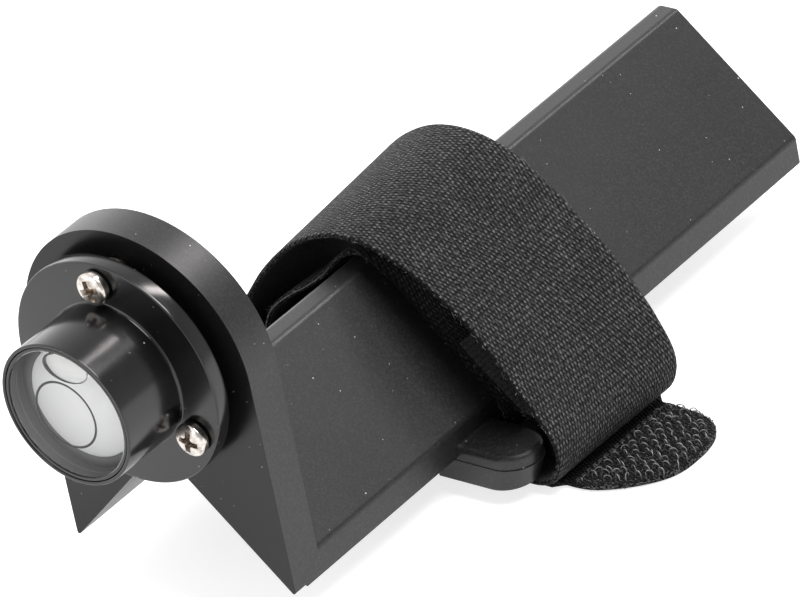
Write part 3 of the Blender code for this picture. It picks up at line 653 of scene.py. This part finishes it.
housing = raw("vial_housing_turned", bm)
cuts = []
for name, angle in SCREWS:
    bm = lathe([(0.0, FLANGE_FRONT + 1.0), (1.75, FLANGE_FRONT + 1.0), (1.75, GAP + 0.25),
                (2.75, GAP + 0.25), (2.75, GAP - 1.0), (0.0, GAP - 1.0)], 40, screw_axis(angle))
    bm.transform(TO_ROW.inverted())
    cuts.append(("DIFFERENCE", raw("flange_hole", bm)))
bm = carve(housing, cuts)
bm.transform(TO_ROW)
piece("vial_housing_turned", bm, GLOSS, "vial_head", 30.0, ("vial_housing",))

CUP_LOW = SEAT + 0.3
CUP_FLOOR = CUP_LOW + 1.2
LENS_R, WALL_R, DISC_R = 11.73, 11.25, 9.4
DISC_TOP = CUP_FLOOR + 1.1
LENS_TOP = 17.9
piece("vial_cup_moulded",
      lathe([(0.0, DISC_TOP - 0.25), (WALL_R, DISC_TOP - 0.25)]
            + [(WALL_R, DISC_TOP + 1.0 + i) for i in range(5)]
            + [(WALL_R, 17.3), (LENS_R, 17.3), (LENS_R, CUP_LOW + 0.3), (LENS_R - 0.3, CUP_LOW),
               (0.0, CUP_LOW)], 120), CUP, "vial_head", 30.0, ("vial_cup",))
piece("target_disc_white", lathe([(0.0, DISC_TOP), (DISC_R - 0.12, DISC_TOP), (DISC_R, DISC_TOP - 0.12),
                                  (DISC_R, DISC_TOP - 0.6), (0.0, DISC_TOP - 0.6)], 120),
      WHITE, "vial_head", 30.0, ("target_disc",))
# the window and the liquid below it, one clear body that wets wall and disc
GLASS_R = WALL_R + 0.10
piece("vial_window", lathe([(0.0, LENS_TOP), (GLASS_R - 0.22, LENS_TOP), (GLASS_R - 0.07, LENS_TOP - 0.06),
                            (GLASS_R, LENS_TOP - 0.20)]
                           + [(GLASS_R, LENS_TOP - 0.8 - i) for i in range(5)]
                           + [(GLASS_R, DISC_TOP - 0.35), (0.0, DISC_TOP - 0.35)], 120),
      WINDOW, "vial_head", 30.0, ("vial_lens",))
bezel = rounded([(GLASS_R + 0.03, 17.2), (GLASS_R + 0.03, 17.98), (LENS_R + 0.18, 17.98),
                 (LENS_R + 0.18, 17.2)], 0.12, 4)
piece("bezel_ring_black", lathe(bezel, 150),
      BEZEL, "vial_head", 30.0, ("bezel_ring",))
RING_R = 5.85
piece("printed_ring", lathe([(RING_R - 0.20, LENS_TOP + 0.03), (RING_R + 0.20, LENS_TOP + 0.03),
                             (RING_R + 0.20, LENS_TOP + 0.005), (RING_R - 0.20, LENS_TOP + 0.005)], 120),
      PRINT, "vial_head", 30.0, ())

# bubble: a flat space in the clear body, so its faces look inwards
bm = bmesh.new()
half_deep, half_wide, half_high, lip = 0.36, 4.45, 2.66, 0.30
BUBBLE_X, BUBBLE_Z = 1.25, ARC_Z + 8.3
rings = []
for i in range(13):
    a = math.radians(-90.0 + 180.0 * i / 12)
    edge_in = lip * (1.0 - math.cos(a))
    deep = half_deep * math.sin(a)
    rings.append([bm.verts.new(at(BUBBLE_X + (half_wide - edge_in) * math.cos(2 * math.pi * k / 96),
                                  deep - (17.0 - half_deep),
                                  BUBBLE_Z + (half_high - edge_in) * math.sin(2 * math.pi * k / 96)))
                  for k in range(96)])
for a_ring, b_ring in zip(rings, rings[1:]):
    for k in range(96):
        m = (k + 1) % 96
        bm.faces.new((a_ring[k], a_ring[m], b_ring[m], b_ring[k]))
for ring, bulge in ((rings[0], -0.10), (rings[-1], 0.10)):
    middle = sum((vert.co for vert in ring), Vector()) / 96.0 + Vector((0.0, bulge * MM, 0.0))
    centre = bm.verts.new(middle)
    inner_ring = [bm.verts.new(vert.co.lerp(middle, 0.5) + Vector((0.0, 0.35 * bulge * MM, 0.0))) for vert in ring]
    for k in range(96):
        m = (k + 1) % 96
        bm.faces.new((ring[k], ring[m], inner_ring[m], inner_ring[k]))
        bm.faces.new((inner_ring[k], inner_ring[m], centre))
bmesh.ops.recalc_face_normals(bm, faces=bm.faces)
bmesh.ops.reverse_faces(bm, faces=bm.faces)
piece("air_bubble", bm, WINDOW, "vial_bubble", 80.0, ("bubble",))

# -------------------------------------------------------------------- screws
HEAD_LOW, HEAD_H, HEAD_R, SCREW_R = FLANGE_FRONT + 0.3, 1.95, 2.85, 1.45
for name, angle in SCREWS:
    dome = [(HEAD_R * math.sin(math.radians(a)),
             HEAD_LOW + HEAD_H * (0.52 + 0.48 * math.cos(math.radians(a)) ** 0.8))
            for a in (0, 10, 20, 30, 40, 50, 60, 70, 78, 84, 88)]
    low = rounded([(HEAD_R, HEAD_LOW + HEAD_H * 0.5), (HEAD_R, HEAD_LOW), (SCREW_R, HEAD_LOW),
                   (SCREW_R, -4.9), (SCREW_R - 0.4, -5.3), (0.5, -5.3)], 0.18, 3)
    bm = lathe(dome + low + [(0.0, -5.3)], 72, (0.0, 0.0), closed=False)
    bm.transform(Matrix.Translation(-at(0.0, 0.0, 0.0)))
    screw = raw("screw", bm)
    cutters = []
    for k in range(2):
        ring = [(-1.0, -1.0), (1.0, -1.0), (1.0, 1.0), (-1.0, 1.0)]
        bm = prism(ring, 0.0, 1.6)
        for vert in bm.verts:
            high = vert.co.y > 0.8 * MM
            half_long, half_wide = (2.10, 0.55) if high else (1.15, 0.32)
            vert.co = Vector((math.copysign(half_long, vert.co.x) * MM,
                              -(HEAD_LOW + HEAD_H - 1.35) * MM - vert.co.y,
                              math.copysign(half_wide, vert.co.z) * MM))
        bmesh.ops.recalc_face_normals(bm, faces=bm.faces)
        bm.transform(Matrix.Rotation(-math.radians(18.0 + 90.0 * k + angle), 4, "Y"))
        cutters.append(("DIFFERENCE", raw("recess", bm)))
    bm = lathe([(0.0, HEAD_LOW + HEAD_H + 0.2), (0.95, HEAD_LOW + HEAD_H + 0.2),
                (0.5, HEAD_LOW + HEAD_H - 1.45), (0.0, HEAD_LOW + HEAD_H - 1.75)], 32, (0.0, 0.0))
    bm.transform(Matrix.Translation(-at(0.0, 0.0, 0.0)))
    cutters.append(("DIFFERENCE", raw("recess_middle", bm)))
    bm = carve(screw, cutters)
    x, z = screw_axis(angle)
    mesh = bpy.data.meshes.new("pan_head_screw_" + name)
    bm.to_mesh(mesh)
    bm.free()
    obj = bpy.data.objects.new("pan_head_screw_" + name, mesh)
    looks.objects.link(obj)
    mesh.materials.append(NICKEL)
    mesh.shade_smooth()
    mesh.set_sharp_from_angle(angle=math.radians(32.0))
    obj.location = at(x, 0.0, z)
    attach(obj, "screw_" + name)
    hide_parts("adjusting_screw_" + name)

for node, mat in (("threaded_insert_top", BRASS), ("threaded_insert_right", BRASS),
                  ("threaded_insert_left", BRASS), ("spring_top", WIRE), ("spring_right", WIRE),
                  ("spring_left", WIRE), ("vial_seal", RUBBER)):
    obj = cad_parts[node]
    for holder in obj.material_slots:
        holder.material = mat

# ---------------------------------------------------------------------- strap
STRAP_W, STRAP_T, LAYER, UNDER_Z = 30.4, 1.1, 1.45, -5.23
UNDER_2 = UNDER_Z - LAYER
STANDOFF = STRAP_T / 2.0 + 0.35
Y_TIGHT, Y_LOOSE, TIP_X = SLOT_Y0 + 0.55, 47.6, 34.75
TAB_X = 37.9
TIP_LINE = [(36.2, 51.0), (40.0, 51.25), (42.8, 52.25), (45.3, 53.75), (47.5, 55.5),
            (49.3, 57.3), (50.8, 59.4), (51.7, 62.0), (52.0, 65.5), (51.8, 69.0),
            (51.0, 71.9), (49.4, 74.0), (47.2, 75.5), (44.6, 76.3), (41.0, 76.6), (36.6, 77.0)]


def on_face(x, out, side=1.0):
    z = PLATE_R + WING_TIP_H - x
    return (side * (x + out * math.sqrt(0.5)), z + out * math.sqrt(0.5))


stations = []


def station(near, far=None, y=Y_TIGHT):
    stations.append((near, far if far is not None else near, y))


# sewn end, turned back over the right bar
station(on_face(15.5, STANDOFF + LAYER + 0.25))
station(on_face(18.5, STANDOFF + LAYER + 0.1))
station((24.5, 6.9))
station((28.4, 3.5))
station((31.9, 2.55))
station((32.95, 0.9))
station((32.95, -1.7))
station((31.9, -3.55))
station((28.4, -3.6))
station((25.9, -2.6))
station((24.75, -0.3))
station((24.2, 2.2))
station((23.65, 4.6))
# up the right face, over the ridge and down the left face
station(on_face(19.5, STANDOFF + 0.05))
station(on_face(14.0, STANDOFF + 0.05))
station(on_face(9.0, STANDOFF + 0.35))
station(on_face(4.2, STANDOFF + 0.3))
station((0.7, RIDGE_Z + STANDOFF + 0.25))
station((-1.4, RIDGE_Z + STANDOFF + 0.15))
station((-3.5, 26.1), (-3.5, 25.7))
station((-6.0, 24.0), (-6.4, 22.7))
station((-8.2, 21.7), (-9.4, 19.9))
station((-12.5, 18.3), (-12.9, 17.0))
station((-16.7, 15.6), (-16.9, 14.0))
station((-20.0, 13.1), (-20.2, 11.4))
station((-22.3, 10.6), (-22.6, 8.8))
station((-24.0, 6.8), (-24.2, 5.6))
station((-24.7, 3.0))
station((-24.3, 0.5))
station((-24.25, -3.4))
station((-23.9, -4.7))
station((-23.0, -5.15))
# under the bracket to the right
station((-21.2, UNDER_Z), y=Y_TIGHT - 0.2)
station((-8.0, UNDER_Z), y=Y_TIGHT - 2.0)
station((10.0, UNDER_Z), y=Y_TIGHT - 3.9)
station((26.0, UNDER_Z), y=Y_TIGHT - 5.0)
# the slack outer loop, wider at its tail-side edge
station((33.8, -5.25), (34.8, -5.25), Y_LOOSE)
station((36.6, -4.0), (38.1, -3.4), Y_LOOSE)
station((38.35, -0.9), (39.8, -0.2), Y_LOOSE)
station((38.2, 3.0), (40.0, 3.3), Y_LOOSE + 0.1)
station((35.2, 8.3), (37.5, 9.3), Y_LOOSE + 0.2)
station((31.5, 13.2), (34.1, 14.7), Y_LOOSE + 0.3)
station((27.8, 18.1), (29.7, 20.2), Y_LOOSE + 0.5)
station((23.2, 22.7), (24.6, 25.0), Y_LOOSE + 0.8)
station((17.7, 26.7), (18.8, 29.8), Y_LOOSE + 1.1)
station((11.5, 29.9), (12.3, 33.9), Y_LOOSE + 1.5)
station((3.9, 32.0), (4.5, 35.75), Y_LOOSE + 1.9)
station((-3.8, 31.2), (-3.5, 34.7), Y_LOOSE + 2.5)
station((-12.5, 26.8), (-12.0, 30.1), Y_LOOSE + 3.6)
station((-20.8, 19.6), (-20.3, 21.9), Y_LOOSE + 4.7)
station((-26.0, 13.4), (-24.6, 13.9), Y_LOOSE + 5.25)
station((-30.6, 6.8), (-28.8, 6.5), Y_TIGHT)
station((-33.2, 1.2), (-32.6, 1.3), Y_TIGHT)
station((-33.3, -2.6), (-33.1, -2.6), Y_TIGHT)
station((-32.2, -5.2), y=Y_TIGHT - 0.05)
station((-29.6, -6.4), y=Y_TIGHT - 0.2)
station((-26.5, UNDER_2), y=Y_TIGHT - 0.45)
station((-12.0, UNDER_2), y=Y_TIGHT - 1.5)
station((10.0, UNDER_2), y=Y_TIGHT - 2.9)
X_FROM = TIP_X - 0.35
station((X_FROM, UNDER_2), y=Y_LOOSE + 1.9)


def spline_through(points, per_span):
    """Centripetal Catmull-Rom curve through points, per_span steps a span."""
    vecs = [Vector(p) for p in points]
    vecs = [2 * vecs[0] - vecs[1]] + vecs + [2 * vecs[-1] - vecs[-2]]
    out = []
    for i in range(1, len(vecs) - 2):
        p0, p1, p2, p3 = vecs[i - 1:i + 3]
        t0 = 0.0
        t1 = t0 + max((p1 - p0).length, 1e-6) ** 0.5
        t2 = t1 + max((p2 - p1).length, 1e-6) ** 0.5
        t3 = t2 + max((p3 - p2).length, 1e-6) ** 0.5
        for k in range(per_span):
            t = t1 + (t2 - t1) * k / per_span
            a1 = p0 * ((t1 - t) / (t1 - t0)) + p1 * ((t - t0) / (t1 - t0))
            a2 = p1 * ((t2 - t) / (t2 - t1)) + p2 * ((t - t1) / (t2 - t1))
            a3 = p2 * ((t3 - t) / (t3 - t2)) + p3 * ((t - t2) / (t3 - t2))
            b1 = a1 * ((t2 - t) / (t2 - t0)) + a2 * ((t - t0) / (t2 - t0))
            b2 = a2 * ((t3 - t) / (t3 - t1)) + a3 * ((t - t1) / (t3 - t1))
            out.append(b1 * ((t2 - t) / (t2 - t1)) + b2 * ((t - t1) / (t2 - t1)))
    out.append(vecs[-2])
    return out


def settled(points):
    return [Vector((p.x, p.y, max(p.z, UNDER_2))) for p in points]


near_edge = settled(spline_through([(n[0], y, n[1]) for n, f, y in stations], 10))
far_edge = settled(spline_through([(f[0], y + STRAP_W, f[1]) for n, f, y in stations], 10))

# cross-section of the band: share of the width, and height above its middle
HALF_T = STRAP_T / 2.0 - 0.04
COLS = 14
section = [(0.0, 0.25 * HALF_T), (0.006, 0.75 * HALF_T)]
section += [(0.02 + 0.96 * i / COLS, HALF_T) for i in range(COLS + 1)]
section += [(0.994, 0.75 * HALF_T), (1.0, 0.25 * HALF_T), (1.0, -0.25 * HALF_T), (0.994, -0.75 * HALF_T)]
section += [(0.98 - 0.96 * i / COLS, -HALF_T) for i in range(COLS + 1)]
section += [(0.006, -0.75 * HALF_T), (0.0, -0.25 * HALF_T)]


def band(name, near, far, outward, along0=0.0, flat_uv=False, painted_shade_rows=0, thin=None, edge_slot=3):
    """A closed band between two edge lines; outward flips which side is the
    knit face. UV is in metres, along and across."""
    bm = bmesh.new()
    uv_layer = bm.loops.layers.uv.new("UVMap")
    rows, along = [], along0
    lengths = []
    for i, (a, b) in enumerate(zip(near, far)):
        i0, i1 = max(i - 1, 0), min(i + 1, len(near) - 1)
        if i:
            along += ((near[i] + far[i]) / 2 - (near[i - 1] + far[i - 1]) / 2).length
        lengths.append(along)
        row = []
        for share, height in section:
            tangent = (near[i1] - near[i0]) * (1 - share) + (far[i1] - far[i0]) * share
            normal = tangent.cross(b - a).normalized() * (-outward)
            p = a.lerp(b, share)
            if thin is None:
                p += normal * height
            else:
                p.z += -height * thin(p.x) - HALF_T * (1.0 - thin(p.x))
            row.append(bm.verts.new(at(p.x, p.y, p.z)))
        rows.append(row)
    count = len(section)
    half = count // 2
    for i in range(len(rows) - 1):
        for k in range(count):
            j = (k + 1) % count
            face = bm.faces.new((rows[i][k], rows[i][j], rows[i + 1][j], rows[i + 1][k]))
            # The knit faces of the first rows take slot 2, the painted shade copy of the knit.
            face.material_index = (2 if i < painted_shade_rows else 0) if 1 <= k < COLS + 3 else 1
            # Edge faces take edge_slot; on the wrapped band that is the painted shade copy of the knit.
            if k in (0, COLS + 3, COLS + 4, COLS + 5, count - 2, count - 1):
                face.material_index = edge_slot
            for loop, (ri, kk) in zip(face.loops, ((i, k), (i, j), (i + 1, j), (i + 1, k))):
                if flat_uv:
                    loop[uv_layer].uv = ((rows[ri][kk].co.x - rows[0][0].co.x + along0 * MM),
                                         rows[ri][kk].co.y - rows[0][0].co.y)
                else:
                    loop[uv_layer].uv = (lengths[ri] * MM, section[kk][0] * STRAP_W * MM)
    for end in (0, -1):
        row = rows[end]
        for k in range(half):
            j, m, n = k + 1, count - 1 - k, (count - k) % count
            quad = [row[k], row[j] if j < count else None, row[m - 1 if m - 1 >= 0 else 0], row[m]]
            if k == half - 1:
                break
            corners = [row[k], row[k + 1], row[count - 2 - k], row[count - 1 - k]]
            if len(set(corners)) == 4:
                face = bm.faces.new(corners)
                for loop in face.loops:
                    loop[uv_layer].uv = (loop.vert.co.z, loop.vert.co.y - row[0].co.y)
    bmesh.ops.recalc_face_normals(bm, faces=bm.faces)
    return bm, lengths


# Painted shade: the strap's inner run, under the slack outer loop, gets the knit at under a third of its albedo.
INNER_RUN_PAINTED_SHADE_WEB = webbing("strap_inner_painted_shade_look", 0.0085, edge=False)
under = [n for n, (a, b, y) in enumerate(stations) if a == (26.0, UNDER_Z)][0]
bm, lengths = band("strap", near_edge, far_edge, 1.0, painted_shade_rows=under * 10)
BAND_LENGTH = lengths[-1]
# Painted shade: the strap's edge faces get the knit at about an eighth of its albedo.
EDGE_PAINTED_SHADE_WEB = webbing("strap_edge_painted_shade_look", 0.0035, edge=False)
strap = piece("strap_wrapped_band", bm, [WEB, PILE, INNER_RUN_PAINTED_SHADE_WEB, EDGE_PAINTED_SHADE_WEB], "bracket_body", 60.0, ("strap_band",))

# free tip: the same band goes on flat and ends rounded
# Painted shade: the free tip is the same band, but its knit gets about half the band's albedo.
TIP_PAINTED_SHADE_WEB = webbing("tip_knit_painted_shade_look", 0.014, edge=False)
tip_curve = spline_through([(x, y, 0.0) for x, y in TIP_LINE], 8)
turn = max(range(len(tip_curve)), key=lambda i: tip_curve[i].x)
near_line = [(X_FROM, Y_LOOSE + 1.9), (TIP_X + 0.35, TIP_LINE[0][1] - 0.9)]
near_line += [(p.x, p.y) for p in tip_curve[:turn + 1]]
far_line = [(X_FROM, Y_LOOSE + 1.9 + STRAP_W), (TIP_X + 0.35, TIP_LINE[-1][1] + 1.6)]
far_line += [(p.x, p.y) for p in tip_curve[:turn - 1:-1]]


def line_y(line, x):
    for (x0, y0), (x1, y1) in zip(line, line[1:]):
        if x <= x1:
            return y0 + (y1 - y0) * (x - x0) / max(x1 - x0, 1e-9)
    return line[-1][1]


TIP_END = tip_curve[turn].x
tip_near, tip_far = [], []
for i in range(61):
    x = X_FROM + (TIP_END - 0.02 - X_FROM) * math.sin(math.radians(90.0 * i / 60.0))
    tip_near.append(Vector((x, line_y(near_line, x), UNDER_2)))
    tip_far.append(Vector((x, line_y(far_line, x), UNDER_2)))
TIP_THIN = 0.58


def tip_thin(x):
    """The free end of the band is pressed thinner where the tape is sewn."""
    t = min(max((x - 35.4) / 2.3, 0.0), 1.0)
    return 1.0 - (1.0 - TIP_THIN) * t * t * (3.0 - 2.0 * t)


bm, tip_lengths = band("tip", tip_near, tip_far, 1.0, BAND_LENGTH, True, 0, tip_thin, 0)
TAPE = webbing("hook_tape_look", 0.005, edge=False)
tip = piece("strap_free_tip", bm, [TIP_PAINTED_SHADE_WEB, TAPE], None, 60.0, ("strap_tip",))
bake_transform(tip)

# hook tape sewn on the tip
def drawn_in(x, y, by):
    away = Vector((x - 44.0, y - 63.4))
    away *= 1.0 - by / away.length
    return (44.0 + away.x, 63.4 + away.y)


tape_ring = [drawn_in(p.x, p.y, 0.16) for p in tip_curve if p.x > TAB_X + 0.2]
tape_ring = [(TAB_X, tape_ring[0][1])] + tape_ring + [(TAB_X, tape_ring[-1][1])]
TIP_TOP = UNDER_2 - HALF_T + 2.0 * HALF_T * TIP_THIN
TAPE_LOW = TIP_TOP - 0.06
TAPE_TOP = TIP_TOP + 0.30
bm = prism(tape_ring, TAPE_LOW, TAPE_TOP, upright=False)
soften(bm, lambda a, b: a.z > TAPE_TOP - 0.01 and b.z > TAPE_TOP - 0.01, 0.2, 3)
bm.transform(TO_ROW)
uv_layer = bm.loops.layers.uv.new("UVMap")
for face in bm.faces:
    for loop in face.loops:
        loop[uv_layer].uv = (loop.vert.co.x, loop.vert.co.y)
tape = piece("hook_tape_base", bm, TAPE, "strap_end", 40.0, ("hook_tab",))


def inside(x, y, margin):
    """True where (x, y) lies within the tape's outline by margin."""
    return (TAB_X + 0.5 < x < TIP_END - margin
            and line_y(near_line, x) + margin < y < line_y(far_line, x) - margin)


def tube(bm, points, radius, sides=5, taper=1.0):
    """A thin round filament along points (mm), closed at both ends."""
    rings = []
    for i, p in enumerate(points):
        d = (points[min(i + 1, len(points) - 1)] - points[max(i - 1, 0)]).normalized()
        ref = Vector((0, 0, 1)) if abs(d.z) < 0.9 else Vector((1, 0, 0))
        a = d.cross(ref).normalized()
        b = d.cross(a)
        r = radius(i) if callable(radius) else radius * (1.0 + (taper - 1.0) * i / (len(points) - 1))
        rings.append([bm.verts.new(at(*(p + a * r * math.cos(2 * math.pi * k / sides)
                                        + b * r * math.sin(2 * math.pi * k / sides))))
                      for k in range(sides)])
    for r0, r1 in zip(rings, rings[1:]):
        for k in range(sides):
            m = (k + 1) % sides
            bm.faces.new((r0[k], r0[m], r1[m], r1[k]))
    bm.faces.new(rings[0][::-1])
    bm.faces.new(rings[-1])


rng = random.Random(7)
bm = bmesh.new()
row = 0
x = TAB_X + 1.1
while x < TIP_END - 0.4:
    y = 50.0 + (1.1 if row % 2 else 0.0)
    while y < 77.0:
        px, py = x + rng.gauss(0, 0.16), y + rng.gauss(0, 0.18)
        if inside(px, py, 0.12) and py < line_y(far_line, px) - 0.7:
            lean = 1.0 if (row // 2) % 2 or px < TAB_X + 3.2 else -1.0
            yaw = rng.gauss(0.0, 0.38) + (0.35 if row % 2 else -0.15)
            way = Vector((math.cos(yaw) * lean, math.sin(yaw), 0.0))
            side = Vector((-way.y, way.x, 0.0)) * rng.gauss(0.0, 0.12)
            foot = Vector((px, py, TAPE_TOP - 0.05)) - way * 0.45
            stem = 0.86 + rng.uniform(-0.18, 0.24)
            r = 0.64 + rng.uniform(-0.10, 0.12)
            if px < TAB_X + 1.9:
                stem, r = stem * 0.55, r * 0.62
            pts = [foot, foot - way * 0.12 + side * 0.3 + Vector((0, 0, stem * 0.5)),
                   foot - way * 0.15 + side * 0.6 + Vector((0, 0, stem))]
            top = pts[-1] + way * r
            for a in range(155, rng.choice((-85, -61, -36)), -24):
                pts.append(top + way * r * math.cos(math.radians(a)) + side * 0.8
                           + Vector((0, 0, r * math.sin(math.radians(a)))))
            tube(bm, pts, 0.10, 6, 0.85)
        y += 2.1
    row += 1
    x += 1.35
hooks = piece("hook_filaments", bm, HOOK, "strap_end", 50.0, ())

# short pile of broken and fine filaments between the hooks
bm = bmesh.new()
for n in range(420):
    px, py = rng.uniform(TAB_X + 0.3, TIP_END), rng.uniform(50.0, 77.0)
    if not inside(px, py, 0.10):
        continue
    yaw = rng.uniform(0.0, 2.0 * math.pi)
    way = Vector((math.cos(yaw), math.sin(yaw), 0.0)) * rng.uniform(0.25, 0.6)
    foot = Vector((px, py, TAPE_TOP - 0.04))
    tall = rng.uniform(0.12, 0.5)
    tube(bm, [foot, foot + way * 0.35 + Vector((0, 0, tall)), foot + way * 0.8 + Vector((0, 0, tall)),
              foot + way + Vector((0, 0, tall * 0.25))], 0.05, 4, 0.8)
for n in range(330):
    i = rng.randrange(1, len(tip_curve) - 1)
    p = tip_curve[i]
    if p.x < TAB_X + 0.3:
        continue
    along = (tip_curve[i + 1] - tip_curve[i - 1]).normalized()
    out = Vector((along.y, -along.x, 0.0))
    foot = Vector((p.x, p.y, rng.uniform(UNDER_2 - HALF_T + 0.15, TAPE_TOP - 0.1))) - out * 0.12
    slide = along * rng.uniform(-0.45, 0.45)
    lift = Vector((0.0, 0.0, rng.uniform(-0.1, 0.35)))
    far = rng.uniform(0.10, 0.26)
    tube(bm, [foot, foot + out * far + slide * 0.3 + lift * 0.4,
              foot + out * far + slide * 0.8 + lift, foot + out * 0.06 + slide + lift], 0.05, 4, 0.8)
FUZZ = nylon("fuzz_look", (0.012, 0.012, 0.012), (0.10, 0.10, 0.099), 0.5)
fuzz = piece("hook_tape_pile", bm, FUZZ, "strap_end", 50.0, ())

# stitches that hold the tape, in two rows beside its straight edge
bm = bmesh.new()
for sx, start in ((TAB_X + 0.28, 51.6), (TAB_X - 0.5, 52.3)):
    y = start
    deep = TAPE_TOP if sx > TAB_X else TIP_TOP
    while y < 74.6:
        tube(bm, [Vector((sx, y, deep - 0.05)), Vector((sx, y + 0.12, deep + 0.08)),
                  Vector((sx, y + 0.9, deep + 0.09)), Vector((sx, y + 1.05, deep - 0.05))],
             0.09, 6)
        y += 1.5
STITCH = nylon("stitch_thread_look", (0.010, 0.010, 0.010), (0.055, 0.055, 0.054), 0.6)
stitches = piece("tape_stitches", bm, STITCH, "strap_end", 60.0, ())

# bound cord along the head-side edge of the inner turn
bm = bmesh.new()
cord_line = [p + Vector((0.0, -0.08, 0.0)) for p in near_edge[204:302]]
tube(bm, cord_line, lambda i: min(1.0, 0.3 + i / 14.0) * (0.092 + 0.03 * math.cos(i * 2.1)), 8)
cord = piece("strap_edge_cord", bm, CORD, "bracket_body", 60.0, ())

# loose fibres along the edges of the strap
bm = bmesh.new()
for edge, out_y in ((near_edge, -1.0), (far_edge, 1.0)):
    total = len(edge)
    for n in range(260):
        i = rng.randrange(6, total - 6)
        p = edge[i]
        if p.z < -4.5 or (i < 100 and p.x > 30.0):
            continue
        t = (edge[i + 1] - edge[i - 1]).normalized()
        q = p + Vector((0.0, -out_y * 0.12, 0.0))
        bend = Vector((rng.gauss(0, 0.35), out_y * rng.uniform(0.15, 0.55), rng.gauss(0, 0.35)))
        slide = t * rng.gauss(0, 0.7)
        pts = [q, q + bend * 0.45 + slide * 0.25, q + bend * 0.8 + slide * 0.65, q + bend + slide]
        tube(bm, pts, 0.028, 4, 0.6)
fibres = piece("strap_edge_fibres", bm, THREAD, "bracket_body", 60.0, ())

# --------------------------------------------------------------- floor, light
bm = bmesh.new()
bmesh.ops.create_grid(bm, x_segments=1, y_segments=1, size=3.0)
bm.transform(Matrix.Translation((0.0, 0.0, -0.0002)))
mesh = bpy.data.meshes.new("floor")
bm.to_mesh(mesh)
bm.free()
floor = bpy.data.objects.new("floor", mesh)
bpy.context.scene.collection.objects.link(floor)
g = Graph("floor_look")
g.set(Base_Color=g.mix(g.noise(g.coord.outputs["Object"], 3.0, 2.0, 0.5),
                       (0.40, 0.40, 0.40), (0.42, 0.42, 0.42)))
g.bsdf.inputs["Roughness"].default_value = 0.9
g.bsdf.inputs["Emission Color"].default_value = (1.0, 1.0, 1.0, 1.0)
g.bsdf.inputs["Emission Strength"].default_value = 0.74
mesh.materials.append(g.mat)

world = bpy.data.worlds.new("studio")
bpy.context.scene.world = world
world.use_nodes = True
tree = world.node_tree
back = tree.nodes["Background"]
coord = tree.nodes.new("ShaderNodeTexCoord")
parts = tree.nodes.new("ShaderNodeSeparateXYZ")
tree.links.new(coord.outputs["Generated"], parts.inputs[0])


def world_range(source, low, high, at_low, at_high):
    node = tree.nodes.new("ShaderNodeMapRange")
    node.interpolation_type = "SMOOTHSTEP"
    tree.links.new(source, node.inputs["Value"])
    for key, number in (("From Min", low), ("From Max", high), ("To Min", at_low), ("To Max", at_high)):
        node.inputs[key].default_value = number
    return node.outputs["Result"]


upward = world_range(parts.outputs["Z"], 0.0, 0.85, 2.2, 1.1)
sideways = world_range(parts.outputs["X"], -0.6, 0.35, 1.2, 0.36)
both = tree.nodes.new("ShaderNodeMath")
both.operation = "MULTIPLY"
tree.links.new(upward, both.inputs[0])
tree.links.new(sideways, both.inputs[1])
tree.links.new(both.outputs[0], back.inputs["Color"])
back.inputs["Strength"].default_value = 1.0


def softbox(name, direction, distance, width, height, power, aim=(0.0, -0.02, 0.03)):
    light = bpy.data.lights.new(name, "AREA")
    light.shape = "RECTANGLE"
    light.size, light.size_y = width, height
    light.energy = power
    obj = bpy.data.objects.new(name, light)
    bpy.context.scene.collection.objects.link(obj)
    d = Vector(direction).normalized()
    obj.location = Vector(aim) + d * distance
    obj.rotation_mode = "QUATERNION"
    obj.rotation_quaternion = d.to_track_quat("Z", "Y")
    return obj


key = softbox("key_box", (0.20, 0.60, 0.77), 0.9, 0.13, 0.36, 2.9)
key.data.color = (1.0, 0.94, 0.93)
softbox("top_box", (0.38, 0.08, 0.92), 0.9, 0.5, 0.5, 14.0)
softbox("front_box", (-0.1, -0.9, 0.6), 1.3, 0.8, 0.8, 2.5)
